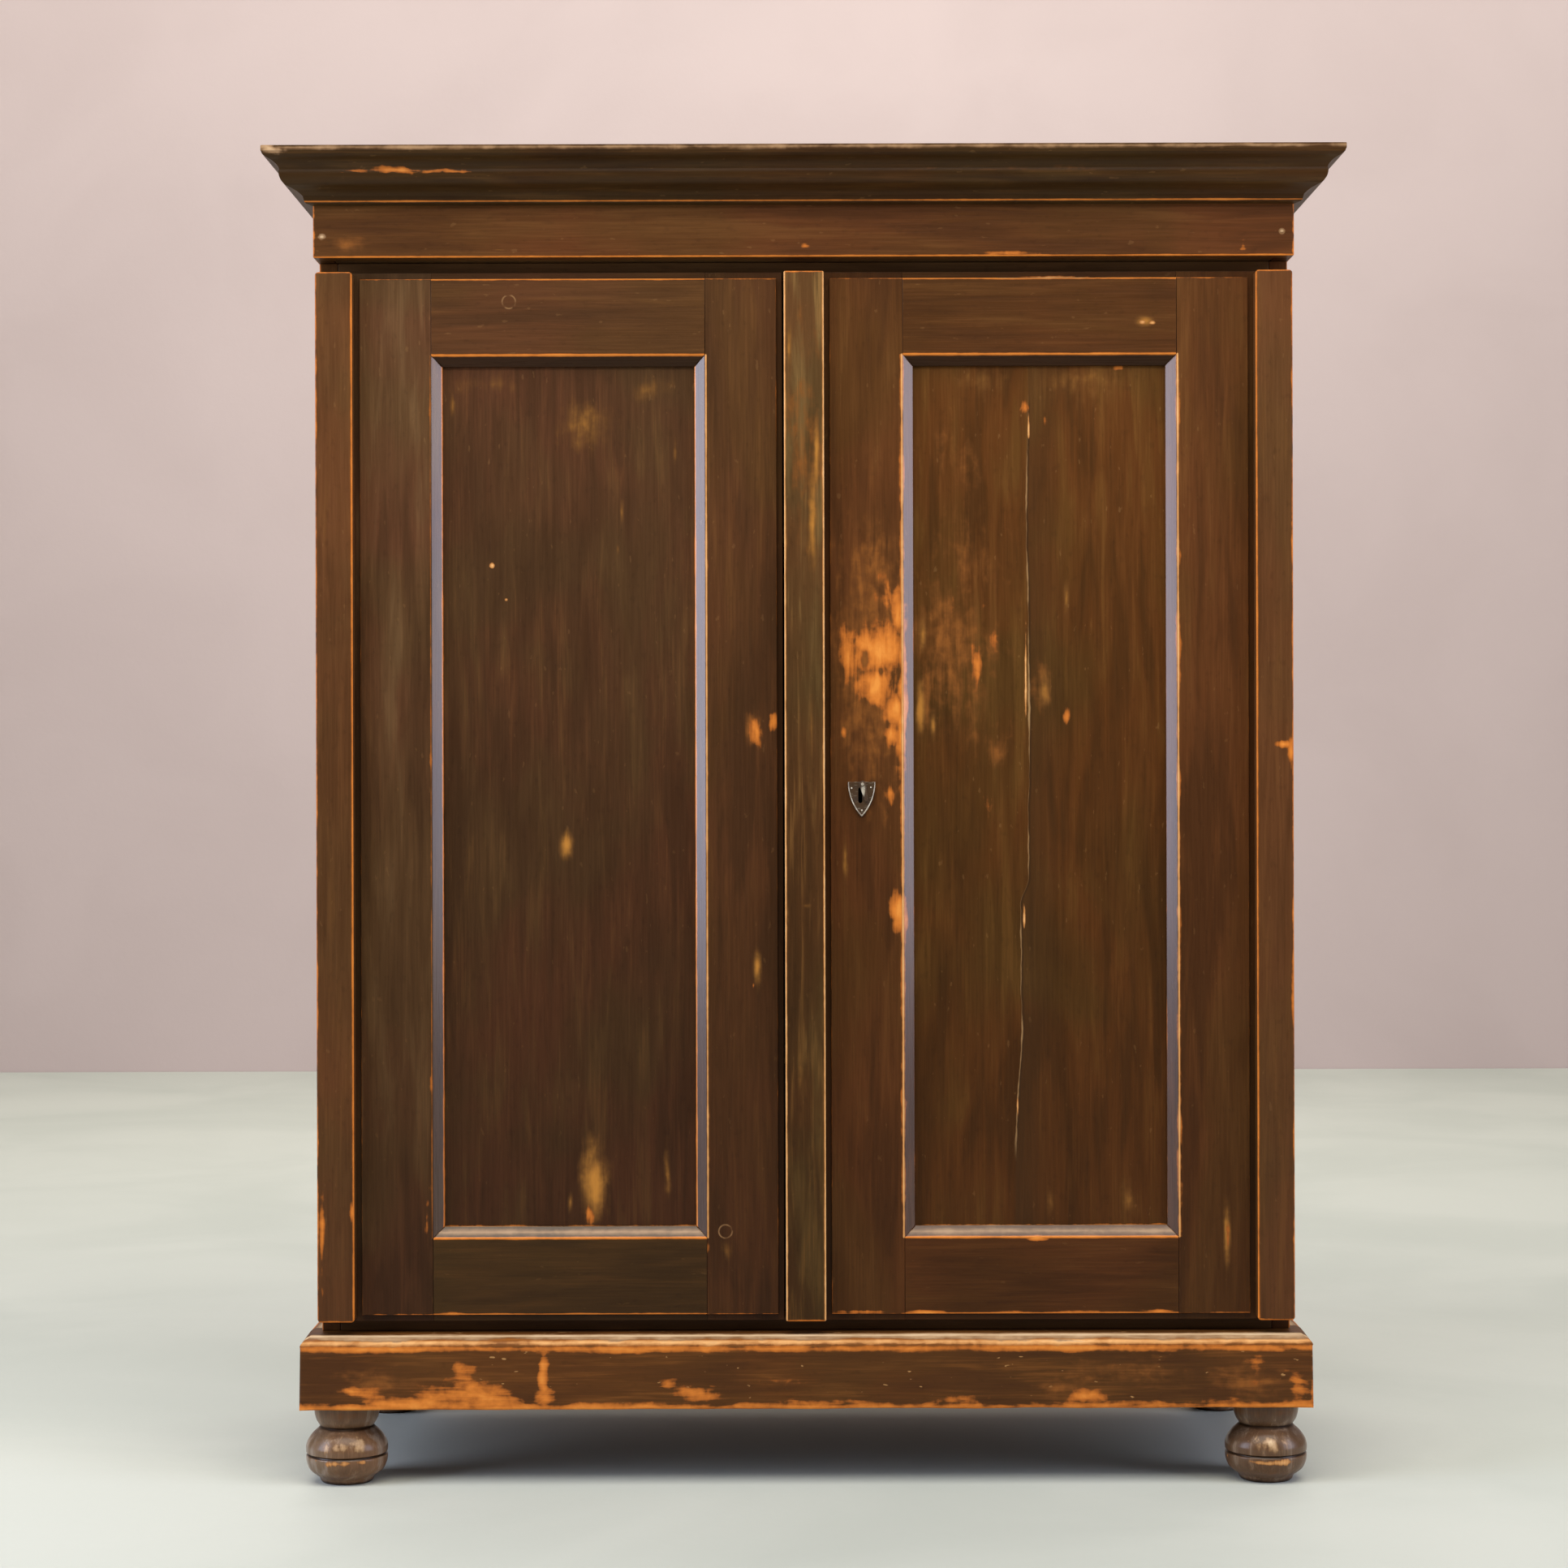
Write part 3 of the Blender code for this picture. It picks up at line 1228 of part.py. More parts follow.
clear_scene()
parts = new_collection("linen_cupboard")
cutters = new_collection("cutters")
main()
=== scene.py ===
"""The looks of a linen cupboard: stained and hand-worn wood, dark iron and aged brass, in a pale studio.

Each class makes and finishes one group of the cupboard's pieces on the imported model. Lengths are in
metres, with X to the right, the front towards -Y and Z up. Colours are sRGB, 0 to 255.
"""

import json
import logging
import math
from collections.abc import Callable, Iterator, Sequence
from contextlib import contextmanager
from dataclasses import dataclass, field, replace
from enum import Enum

import bmesh
import bpy
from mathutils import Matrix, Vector

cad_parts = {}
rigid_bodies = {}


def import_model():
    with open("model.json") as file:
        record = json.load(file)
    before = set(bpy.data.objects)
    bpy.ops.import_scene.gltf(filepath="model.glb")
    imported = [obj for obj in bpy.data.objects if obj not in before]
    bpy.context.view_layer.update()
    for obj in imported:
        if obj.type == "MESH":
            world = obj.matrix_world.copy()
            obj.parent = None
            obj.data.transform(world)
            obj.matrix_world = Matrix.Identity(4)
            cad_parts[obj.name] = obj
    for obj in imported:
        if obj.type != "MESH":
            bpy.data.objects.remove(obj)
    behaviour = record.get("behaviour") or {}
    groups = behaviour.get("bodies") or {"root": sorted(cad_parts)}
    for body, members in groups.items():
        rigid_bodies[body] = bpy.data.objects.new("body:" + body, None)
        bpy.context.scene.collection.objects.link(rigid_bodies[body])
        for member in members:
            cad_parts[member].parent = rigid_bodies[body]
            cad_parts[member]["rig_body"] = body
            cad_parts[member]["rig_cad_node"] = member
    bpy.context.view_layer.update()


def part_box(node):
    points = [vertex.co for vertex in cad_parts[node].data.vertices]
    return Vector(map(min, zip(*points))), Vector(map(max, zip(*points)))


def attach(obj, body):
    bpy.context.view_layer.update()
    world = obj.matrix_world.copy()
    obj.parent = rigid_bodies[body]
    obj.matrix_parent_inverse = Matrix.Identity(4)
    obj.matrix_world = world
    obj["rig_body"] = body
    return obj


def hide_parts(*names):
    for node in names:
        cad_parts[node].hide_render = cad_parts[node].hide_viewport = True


log = logging.getLogger("linen_cupboard")

Colour = tuple[float, float, float]
Place = tuple[float, float, float]
Piece = bpy.types.Object
Stops = tuple[tuple[float, Colour], ...]

HAIR = 0.00002  # nearer than this, two corners are one
EDGE_FALL = 0.4  # how far below nothing a worn place's level goes at its reach
SPAN_FALL = 300.0  # how fast, to a metre, a worn line's level falls past its ends
PATCH_DEPTH = 0.008  # how deep a worn patch reaches through its face
SLIM = 0.0075  # a patch no wider than this keeps its place
FACE = -0.21315  # the face of a door's frame
SUNK = -0.20115  # the face of its panel
PROUD = -0.22815  # the face of the battens and of the centre strip


class Run(Enum):
    """The way that a piece's grain runs."""

    ACROSS = 0
    DEPTH = 1
    UP = 2


class Slot(Enum):
    """The record's material slots, one for each kind of piece made here."""

    FRAME = "frame_wood"
    BATTEN = "batten_wood"
    PLINTH = "plinth_wood"
    FOOT = "foot_wood"
    CORNICE = "cornice_wood"
    INSIDE = "inside_wood"
    IRON = "dark_iron"
    BRASS = "aged_brass"


def linear(colour: Colour) -> tuple[float, float, float, float]:
    """Turn an sRGB colour into the linear one that a shader takes.

    Args:
        colour: red, green and blue, 0 to 255.

    Returns:
        The linear colour, with full alpha.
    """
    shares = (channel / 255 for channel in colour)
    red, green, blue = (s / 12.92 if s <= 0.04045 else ((s + 0.055) / 1.055) ** 2.4 for s in shares)
    return red, green, blue, 1.0


# The material board


class Value:
    """A socket of a material that can stand in a sum."""

    def __init__(self, board: "Board", socket: bpy.types.NodeSocket) -> None:
        """Wrap a socket of the board."""
        self.board = board
        self.socket = socket

    def sum(self, operation: str, *others: "Value | float") -> "Value":
        """Work out one step of a sum.

        Args:
            operation: the Math node's operation.
            others: what follows this value in it.

        Returns:
            The result.
        """
        given = dict(enumerate((self, *others)))
        return self.board.value("ShaderNodeMath", {"operation": operation}, given)

    def __add__(self, other: "Value | float") -> "Value":
        """This value and another together."""
        return self.sum("ADD", other)

    __radd__ = __add__

    def __sub__(self, other: "Value | float") -> "Value":
        """This value less another."""
        return self.sum("SUBTRACT", other)

    def __rsub__(self, other: float) -> "Value":
        """A number less this value."""
        return self.sum("MULTIPLY_ADD", -1.0, other)

    def __mul__(self, other: "Value | float") -> "Value":
        """This value times another."""
        return self.sum("MULTIPLY", other)

    __rmul__ = __mul__


class Board:
    """A material's node board, with the place on its piece and the way that the grain runs."""

    def __init__(self, name: str, run: Run = Run.UP) -> None:
        """Start an empty board.

        Args:
            name: the material's name.
            run: the way that the piece's grain runs.
        """
        self.material = bpy.data.materials.new(name)
        self.material.use_nodes = True
        self.tree = self.material.node_tree
        self.tree.nodes.clear()
        self.run = run
        self.place = self.value("ShaderNodeTexCoord", {}, {}, "Object")

    def node(self, kind: str, settings: dict[str, object], given: dict[int | str, object]) -> bpy.types.Node:
        """Put a node on the board.

        Args:
            kind: the node's type.
            settings: its settings, and a ramp's colours under "stops".
            given: the values or links of its sockets, by name or number.

        Returns:
            The node.
        """
        node = self.tree.nodes.new(kind)
        for name, setting in settings.items():
            if name == "stops":
                for _ in range(len(setting) - 2):
                    node.color_ramp.elements.new(0.5)
                for element, (position, colour) in zip(node.color_ramp.elements, setting):
                    element.position = position
                    element.color = linear(colour)
            else:
                setattr(node, name, setting)
        for key, value in given.items():
            if isinstance(value, Value):
                self.tree.links.new(value.socket, node.inputs[key])
            else:
                node.inputs[key].default_value = value
        return node

    def value(
        self, kind: str, settings: dict[str, object], given: dict[int | str, object], output: int | str = 0
    ) -> Value:
        """Put a node on the board for the sake of one output.

        Args:
            kind: the node's type.
            settings: its settings.
            given: the values or links of its sockets.
            output: the output's name or number.

        Returns:
            The output.
        """
        return Value(self, self.node(kind, settings, given).outputs[output])

    def coordinate(self, place: Value, axis: Run) -> Value:
        """One coordinate of a place."""
        return self.value("ShaderNodeSeparateXYZ", {}, {0: place}, axis.value)

    def stretched(self, place: Value, scale: Place, start: Place = (0.0, 0.0, 0.0)) -> Value:
        """A place measured from a start on scales of its own."""
        settings = {"operation": "MULTIPLY_ADD"}
        return self.value("ShaderNodeVectorMath", settings, {0: place, 1: scale, 2: start})

    def along(self, share: float) -> Value:
        """The place on the piece, which passes more slowly along the grain, by a share."""
        return self.stretched(self.place, tuple(share if axis is self.run else 1.0 for axis in Run))

    def distance(self, place: Value, scale: Place, start: Place) -> Value:
        """How far a place lies from a start, on scales of its own."""
        given = {0: self.stretched(place, scale, start)}
        return self.value("ShaderNodeVectorMath", {"operation": "LENGTH"}, given, "Value")

    def noise(self, place: Value, scale: float, detail: float, wander: float = 0.0) -> Value:
        """A cloudy pattern.

        Args:
            place: where it is read.
            scale: how many clouds there are to a unit.
            detail: how many finer layers it has.
            wander: how far it swirls.

        Returns:
            Its value, round a half.
        """
        given = {"Vector": place, "Scale": scale, "Detail": detail, "Distortion": wander}
        return self.value("ShaderNodeTexNoise", {}, given)

    def strayed(self, amount: Place, scale: float) -> Value:
        """The place on the piece, which wanders off by a cloudy amount along each axis."""
        cloud = self.value("ShaderNodeTexNoise", {}, {"Vector": self.place, "Scale": scale, "Detail": 2.0}, "Color")
        off = self.stretched(cloud, amount, tuple(-0.5 * value for value in amount))
        return self.value("ShaderNodeVectorMath", {"operation": "ADD"}, {0: self.place, 1: off})

    def step(self, value: Value, low: float, high: float) -> Value:
        """A soft step from 0 at low to 1 at high."""
        given = {0: value, 1: low, 2: high, 3: 0.0, 4: 1.0}
        return self.value("ShaderNodeMapRange", {"interpolation_type": "SMOOTHSTEP"}, given)

    def mix(self, share: Value | float, first: object, second: object, blend: str = "MIX") -> Value:
        """Blend two colours.

        Args:
            share: how much of the second there is.
            first: the first colour, an output or linear.
            second: the second colour.
            blend: how they blend.

        Returns:
            The blended colour.
        """
        settings = {"data_type": "RGBA", "blend_type": blend}
        return self.value("ShaderNodeMix", settings, {0: share, 6: first, 7: second}, 2)

    def tint(self, share: Value | float, colour: Value, over: Colour, blend: str = "MIX") -> Value:
        """A colour with a share of a plain one over it."""
        return self.mix(share, colour, linear(over), blend)

    def ramp(self, value: Value, stops: Stops) -> Value:
        """The colour of a value on a ramp."""
        return self.value("ShaderNodeValToRGB", {"stops": stops}, {0: value})

    def score(self, place: Value, worn: "Worn") -> Value:
        """How worn a place is by one cause: its strength at the centre, and less with distance.

        Args:
            place: where it is read.
            worn: the cause.

        Returns:
            The level.
        """
        fall = worn.strength + EDGE_FALL
        shares = tuple(0.0 if reach == 0 else fall / reach for reach in worn.reach)
        start = tuple(-middle * share for middle, share in zip(worn.centre, shares))
        level = worn.strength - self.distance(place, shares, start)
        if worn.span:
            start, end = worn.span
            middle = self.coordinate(place, Run(worn.reach.index(0.0))) - (start + end) / 2
            past = (middle.sum("ABSOLUTE") - (end - start) / 2).sum("MAXIMUM", 0.0)
            level = level - past * SPAN_FALL
        return level

    def worst(self, place: Value, causes: Sequence["Worn"]) -> Value:
        """How worn a place is by the worst of its causes."""
        return highest([self.score(place, cause) for cause in causes])

    def put_on(self, piece: Piece, surface: dict[int | str, object], height: Value, depth: float) -> None:
        """Close the board with a surface and its fine relief, and make it a piece's only material.

        Args:
            piece: the piece.
            surface: the sockets of the surface shader.
            height: the relief, 0 to 1.
            depth: the relief's depth.
        """
        bump = self.value("ShaderNodeBump", {}, {"Strength": 0.6, "Distance": depth, "Height": height})
        shader = self.value("ShaderNodeBsdfPrincipled", {}, surface | {"Normal": bump})
        self.node("ShaderNodeOutputMaterial", {}, {0: shader})
        piece.data.materials.clear()
        piece.data.materials.append(self.material)


def highest(levels: Sequence[Value]) -> Value:
    """The highest of some values.

    Args:
        levels: the values.

    Returns:
        The highest.
    """
    level = levels[0]
    for other in levels[1:]:
        level = level.sum("MAXIMUM", other)
    return level


@dataclass(frozen=True)
class Shade:
    """What shows at a worn place: its colours from slight to full wear, and how softly it starts."""

    stops: Stops
    soft: float


class Look(Enum):
    """The kinds of wear, with painted shade and painted highlight among them, in the order in which they lie over each
    other.
    """

    THIN = Shade(((0.0, (100, 60, 25)), (0.4, (114, 68, 27)), (1.0, (134, 80, 31))), 0.90)
    OLIVE = Shade(((0.0, (98, 64, 28)), (0.4, (118, 78, 33)), (1.0, (170, 114, 46))), 0.90)
    ORANGE = Shade(
        (
            (0.0, (108, 62, 24)), (0.18, (140, 78, 28)), (0.38, (176, 100, 36)),
            (0.62, (200, 117, 43)), (1.0, (217, 138, 58)),
        ),
        0.22,
    )
    CREAM = Shade(((0.0, (122, 76, 38)), (0.2, (172, 116, 62)), (0.5, (212, 158, 98)), (1.0, (240, 204, 156))), 0.18)
    # Pale grey: dust and the pale marks round nails, and a painted highlight where it lies on faces turned up to the
    # light or on the feet's fronts.
    DUST_AND_SHEEN = Shade(
        (
            (0.0, (98, 70, 46)), (0.18, (128, 98, 68)), (0.42, (164, 132, 97)),
            (0.70, (196, 166, 128)), (1.0, (216, 190, 154)),
        ),
        0.26,
    )
    # Painted shade, for creases and hollows.
    CREASE_SHADE = Shade(((0.0, (58, 36, 17)), (1.0, (28, 17, 9))), 0.50)


@dataclass(frozen=True)
class Worn:
    """A worn place, or a place of painted shade or highlight: an ellipsoid, or a line along each axis without a reach.

    Args:
        centre: its middle.
        reach: how far it reaches along each axis.
        strength: how worn its middle is.
        look: what shows there.
        ragged: how ragged its outline is.
        span: where a line starts and ends.
    """

    centre: Place
    reach: Place
    strength: float
    look: Look = Look.ORANGE
    ragged: float = 1.0
    span: tuple[float, float] | None = None


def patches(y: float, look: Look, *rows: tuple[float, float, float, float, float]) -> list[Worn]:
    """Worn patches on a face that looks to the front; a slim one keeps its place, a golden one is soft.

    Args:
        y: where the face lies.
        look: what shows on them.
        rows: for each one its middle, across and up, its half width and half height, and its strength.

    Returns:
        The causes of wear.
    """
    worn = []
    for x, z, wide, high, strength in rows:
        ragged = 0.6 if look is Look.OLIVE else 1.0 if min(wide, high) > SLIM else 0.9
        worn.append(Worn((x, y, z), (wide, PATCH_DEPTH, high), strength, look, ragged))
    return worn


def ridge(
    centre: Place,
    run: Run,
    width: float = 0.004,
    strength: float = 0.3,
    look: Look = Look.ORANGE,
    ragged: float = 0.5,
    span: tuple[float, float] | None = None,
) -> Worn:
    """A worn arris, or a line of painted shade or highlight, that runs along one axis.

    Args:
        centre: a point of it.
        run: the axis that it follows.
        width: how far the wear reaches at full strength.
        strength: how worn it is.
        look: what shows on it.
        ragged: how ragged its outline is.
        span: where it starts and ends.

    Returns:
        The cause of wear.
    """
    reach = tuple(0.0 if axis == run.value else width for axis in range(3))
    return Worn(centre, reach, strength, look, ragged, span)


@dataclass(frozen=True)
class Slope:
    """A sloping moulding along one side of a board, planed smooth.

    Args:
        axis: the axis across it.
        start: where it starts.
        end: where its finish is fully on.
        shine: how much more shine it holds.
        grime_and_shade: how much painted shade darkens it.
    """

    axis: Run
    start: float
    end: float
    shine: float
    grime_and_shade: float = 0.0


@dataclass(frozen=True)
class Bare:
    """The side of a board that was never stained: beyond a plane across one axis."""

    axis: Run
    start: float
    inward: int


@dataclass(frozen=True)
class Form:
    """What a board's finish follows in its shape.

    Args:
        slope: its smooth moulding.
        bare: its unstained side.
        sunk: how far back its face lies in the hollows, which are darkened: partly old dust, partly painted shade.
    """

    slope: Slope | None = None
    bare: Bare | None = None
    sunk: float | None = None


@dataclass(frozen=True)
class Seam:
    """An upright split between two planks, which wanders a little."""

    x: float
    strength: float
    width: float = 0.0016
    drift: float = 0.016
    bends: tuple[Place, ...] = ()
    ends: tuple[float, float] = (0.0, 2.0)


@dataclass(frozen=True)
class Plug:
    """A round wooden plug over a nail, of which the rim shows."""

    centre: Place
    radius: float


@dataclass(frozen=True)
class History:
    """What years of use have left on a piece.

    Args:
        worn: where it is worn, and where shade or highlight is painted.
        kept: where stain has stayed inside a worn place.
        plugs: its plugs.
        seam: its split.
    """

    worn: Sequence[Worn] = ()
    kept: Sequence[Worn] = ()
    plugs: Sequence[Plug] = ()
    seam: Seam | None = None


@dataclass(frozen=True)
class WoodFinish:
    """Softwood under a dark stain that years of use have thinned."""

    stain: Colour = (91, 51, 22)
    olive: Colour = (83, 50, 20)
    deep: Colour = (65, 37, 15)
    haze: Colour = (112, 75, 36)
    haze_share: float = 0.22
    streak: Colour = (118, 76, 36)
    streak_share: float = 0.10
    fleck: Colour = (178, 134, 82)
    specks: float = 0.08
    restless: float = 1.0
    gloss: float = 0.44
    coat: float = 0.04
    # low and fall: the wood is darkened towards low lower down, by up to the share fall near the floor; partly painted
    # shade for the light falling off lower down, partly the wood's own darker tone
    low: Colour = (147, 128, 86)
    fall: float = 0.50
    # Painted shade laid on a moulding that faces down.
    shade_on_slope: Colour = (40, 21, 6)
    # The colour of the darkened hollows: old dust and painted shade.
    dirt_and_shade: Colour = (40, 24, 11)
    far_plank: Colour = (58, 38, 18)
    crack: Colour = (46, 29, 13)
    splinter: Colour = (176, 138, 92)
    rim: Colour = (128, 94, 60)
    relief: float = 0.0006

    def dress(self, piece: Piece, run: Run, history: History, form: Form = Form()) -> None:
        """Give a piece this finish.

        Args:
            piece: the piece.
            run: the way that its grain runs.
            history: what use has left on it.
            form: what the finish follows in its shape.
        """
        board = Board(piece.name, run)
        place = board.place
        fibre = board.noise(board.along(0.03), 480.0, 3.0, 0.3)
        strand = board.noise(board.along(0.09), 60.0, 4.0, 0.7)
        colour = self.stained(board, fibre, strand)
        rough = self.gloss + fibre * 0.14 - 0.07
        relief = fibre * 0.5 + strand * 0.5
        coat = self.coat
        if form.slope:
            slope = form.slope
            smooth = board.step(board.coordinate(place, slope.axis), slope.start, slope.end)
            rough = rough - smooth * 0.16
            relief = relief * (1.0 - smooth * 0.8)
            coat = smooth * slope.shine + self.coat
            # A moulding that faces down is darkened with painted shade.
            colour = board.tint(smooth * slope.grime_and_shade, colour, self.shade_on_slope)
            # Faces set back in the hollows are darkened: partly old dust, partly painted shade.
            if form.sunk:
                back = board.step(board.coordinate(place, Run.DEPTH), form.sunk, form.sunk + 0.002)
                colour = board.tint(back * (1.0 - smooth) * 0.4, colour, self.dirt_and_shade)
        if history.seam:
            colour = self.split(board, colour, history.seam)
        stray = board.strayed((0.014, 0.0, 0.012), 26.0)
        stir = self.stir(board, fibre)
        for look in Look:
            causes = [worn for worn in history.worn if worn.look is look]
            if not causes:
                continue
            levels = []
            for ragged in sorted({worn.ragged for worn in causes}):
                alike = [worn for worn in causes if worn.ragged == ragged]
                levels.append(board.worst(stray if ragged >= 1 else place, alike) + stir * ragged)
            level = highest(levels)
            if history.kept and look is Look.ORANGE:
                level = level - board.worst(place, history.kept).sum("MAXIMUM", 0.0) * 1.2
            mask = board.step(level, -0.04, look.value.soft)
            colour = board.mix(mask, colour, board.ramp(level, look.value.stops))
            rough = rough + mask * 0.06
            relief = relief - mask * 0.15
        for plug in history.plugs:
            colour = self.plugged(board, colour, plug)
        if form.bare:
            start = form.bare.start
            open_side = board.step(board.coordinate(place, form.bare.axis), start, start + 0.0006 * form.bare.inward)
            colour = board.mix(open_side, colour, INSIDE.colour(board))
            rough = rough + open_side * 0.2
        surface = {"Base Color": colour, "Roughness": rough, "Specular IOR Level": 0.12}
        board.put_on(piece, surface | {"Coat Weight": coat, "Coat Roughness": 0.25}, relief, self.relief)

    def stained(self, board: Board, fibre: Value, strand: Value) -> Value:
        """The stained wood before any wear, with partly painted shade lower down.

        Args:
            board: the material's board.
            fibre: the fine grain.
            strand: the middle grain.

        Returns:
            Its colour.
        """
        drift = board.noise(board.along(0.25), 12.0, 4.0, 0.8)
        cloud = board.noise(board.place, 3.6, 3.0, 0.6)
        speck = board.noise(board.along(0.5), 150.0, 3.0)
        fleck = board.noise(board.along(0.4), 170.0, 2.0)
        colour = board.mix(board.step(cloud * 0.7 + drift * 0.3, 0.42, 0.60), linear(self.stain), linear(self.olive))
        colour = board.tint(board.step(drift * 0.6 + strand * 0.4, 0.52, 0.38) * 0.6, colour, self.deep)
        hazy = board.step(drift * 0.5 + strand * 0.5, 0.50, 0.64) * self.haze_share
        colour = board.tint(hazy, colour, self.haze)
        streaks = board.step(strand * 0.6 + fibre * 0.4, 0.52, 0.68) * self.streak_share
        colour = board.tint(streaks, colour, self.streak)
        # The wood's own darker fibres and specks.
        grime_and_shade = board.step(fibre, 0.62, 0.40) * 0.12 + board.step(speck, 0.56, 0.72) * 0.12
        colour = board.tint(grime_and_shade, colour, self.deep, "MULTIPLY")
        colour = board.tint(board.step(fleck, 0.70, 0.74) * self.specks, colour, self.fleck)
        # Darker towards the bottom: partly painted shade for the light falling off lower down.
        lower_shade = board.step(board.coordinate(board.place, Run.UP), 1.5, 0.1) * self.fall
        return board.tint(lower_shade, colour, self.low, "MULTIPLY")

    def stir(self, board: Board, fibre: Value) -> Value:
        """How the wear strays: in slow swells, in small chips and in strokes along the grain.

        Args:
            board: the material's board.
            fibre: the wood's fine grain.

        Returns:
            What to add to its level, round 0.
        """
        swell = board.noise(board.place, 14.0, 2.0, 0.4)
        chip = board.noise(board.place, 97.0, 4.0, 0.3)
        stroke = board.noise(board.along(0.24), 85.0, 3.0, 0.6)
        return (swell + chip * 0.7 + stroke * 1.4 + fibre * 0.3 - 1.7) * self.restless

    def split(self, board: Board, colour: Value, seam: Seam) -> Value:
        """Draw a split between two planks: a broken pale line, and a darker plank beyond it.

        Args:
            board: the material's board.
            colour: the colour so far.
            seam: the split.

        Returns:
            The colour with the split.
        """
        upright = board.stretched(board.place, (0.0, 0.0, 1.0))
        slow = (board.noise(upright, 3.0, 2.0) - 0.5) * seam.drift
        quick = (board.noise(upright, 45.0, 3.0) - 0.5) * 0.0030
        off = board.coordinate(board.place, Run.ACROSS) - seam.x + slow + quick
        height = board.coordinate(board.place, Run.UP)
        for start, end, shift in seam.bends:
            off = off + board.step(height, start, end) * shift
        low, high = seam.ends
        there = board.step(height, low, low + 0.05) * board.step(height, high, high - 0.03)
        beyond = board.step(off, -0.0010, 0.0015) * board.step(off, 0.060, 0.002)
        colour = board.tint(beyond * 0.40, colour, self.far_plank)
        dark = board.step((off - 0.0014).sum("ABSOLUTE"), 0.0022, 0.0004) * 0.55
        colour = board.tint(dark * there, colour, self.crack)
        broken = board.step(board.noise(upright, 9.0, 4.0), 0.42, 0.62)
        width = broken * seam.width + 0.0004
        pale = (width - off.sum("ABSOLUTE")).sum("DIVIDE", width).sum("MAXIMUM", 0.0)
        share = board.step(pale, 0.0, 0.8) * (broken * seam.strength + 0.16) * there
        return board.tint(share, colour, self.splinter)

    def plugged(self, board: Board, colour: Value, plug: Plug) -> Value:
        """Draw a plug's rim.

        Args:
            board: the material's board.
            colour: the colour so far.
            plug: the plug.

        Returns:
            The colour with the rim.
        """
        away = board.distance(board.place, (1, 1, 1), tuple(-value for value in plug.centre))
        rim = board.step((away - plug.radius).sum("ABSOLUTE"), 0.0013, 0.0003)
        share = rim * board.step(board.noise(board.place, 90.0, 2.0), 0.36, 0.60) * 0.9
        return board.tint(share, colour, self.rim)


@dataclass(frozen=True)
class BareWood:
    """Unstained softwood, gone honey brown with age."""

    pale: Colour = (150, 112, 72)
    ring: Colour = (118, 82, 48)
    dust: Colour = (88, 70, 50)
    relief: float = 0.0010

    def colour(self, board: Board) -> Value:
        """Its colour.

        Args:
            board: the material's board.

        Returns:
            The colour.
        """
        grain = board.along(0.05)
        strand = board.noise(grain, 90.0, 4.0, 0.6)
        broad = board.noise(grain, 22.0, 4.0, 1.6)
        settings = {"wave_type": "BANDS", "bands_direction": "DIAGONAL"}
        given = {"Vector": grain, "Scale": 11.0, "Distortion": 14.0, "Detail": 3.0, "Detail Scale": 1.8}
        rings = board.value("ShaderNodeTexWave", settings, given, 1)
        ringed = board.step(rings * 0.5 + broad * 0.5, 0.40, 0.75) * 0.55
        colour = board.mix(ringed, linear(self.pale), linear(self.ring))
        colour = board.tint(board.step(strand, 0.56, 0.40) * 0.30, colour, self.ring)
        cloudy = board.noise(board.along(0.3), 7.0, 4.0, 0.6)
        return board.tint(board.step(cloudy, 0.44, 0.74) * 0.40, colour, self.dust)

    def dress(self, piece: Piece, run: Run) -> None:
        """Give a piece this finish.

        Args:
            piece: the piece.
            run: the way that its grain runs.
        """
        board = Board(piece.name, run)
        fibre = board.noise(board.along(0.022), 640.0, 3.0, 0.4)
        rough = 0.62 + fibre * 0.16 - 0.08
        surface = {"Base Color": self.colour(board), "Roughness": rough, "Specular IOR Level": 0.3}
        board.put_on(piece, surface, fibre, self.relief)


@dataclass(frozen=True)
class MetalFinish:
    """Old metal: a worn face, dark where it has tarnished or rusted."""

    face: Colour
    tarnish: Colour
    bright: Colour
    rough: float
    metal: float
    relief: float = 0.0003

    def dress(self, piece: Piece, rubbed: Sequence[Worn] = ()) -> None:
        """Give a piece this finish.

        Args:
            piece: the piece.
            rubbed: where hands have kept it bright.
        """
        board = Board(piece.name)
        cloud = board.noise(board.place, 90.0, 4.0, 0.6)
        grit = board.noise(board.place, 900.0, 3.0)
        scratch = board.noise(board.stretched(board.place, (0.08, 1.0, 1.0)), 1400.0, 2.0)
        tarnished = board.step(cloud * 0.7 + grit * 0.3, 0.44, 0.62)
        colour = board.mix(tarnished, linear(self.face), linear(self.tarnish))
        shine = board.step(scratch, 0.60, 0.72) * 0.35
        for worn in rubbed:
            level = board.score(board.place, worn) + (cloud - 0.5) * 0.5
            shine = shine.sum("MAXIMUM", board.step(level, 0.0, 0.35))
        surface = {
            "Base Color": board.tint(shine, colour, self.bright),
            "Metallic": (1.0 - tarnished * 0.5 * (1.0 - shine)) * self.metal,
            "Roughness": self.rough + tarnished * 0.22 - shine * 0.14,
        }
        board.put_on(piece, surface, cloud * 0.6 + grit * 0.4, self.relief)


INSIDE = BareWood()
DUSTED = BareWood((124, 102, 78), (100, 78, 56), (92, 84, 74))
PLANKS = (INSIDE, BareWood((140, 102, 64), (108, 74, 42), (82, 64, 46)), BareWood((157, 118, 78), (126, 90, 54)))
FRAME = WoodFinish()
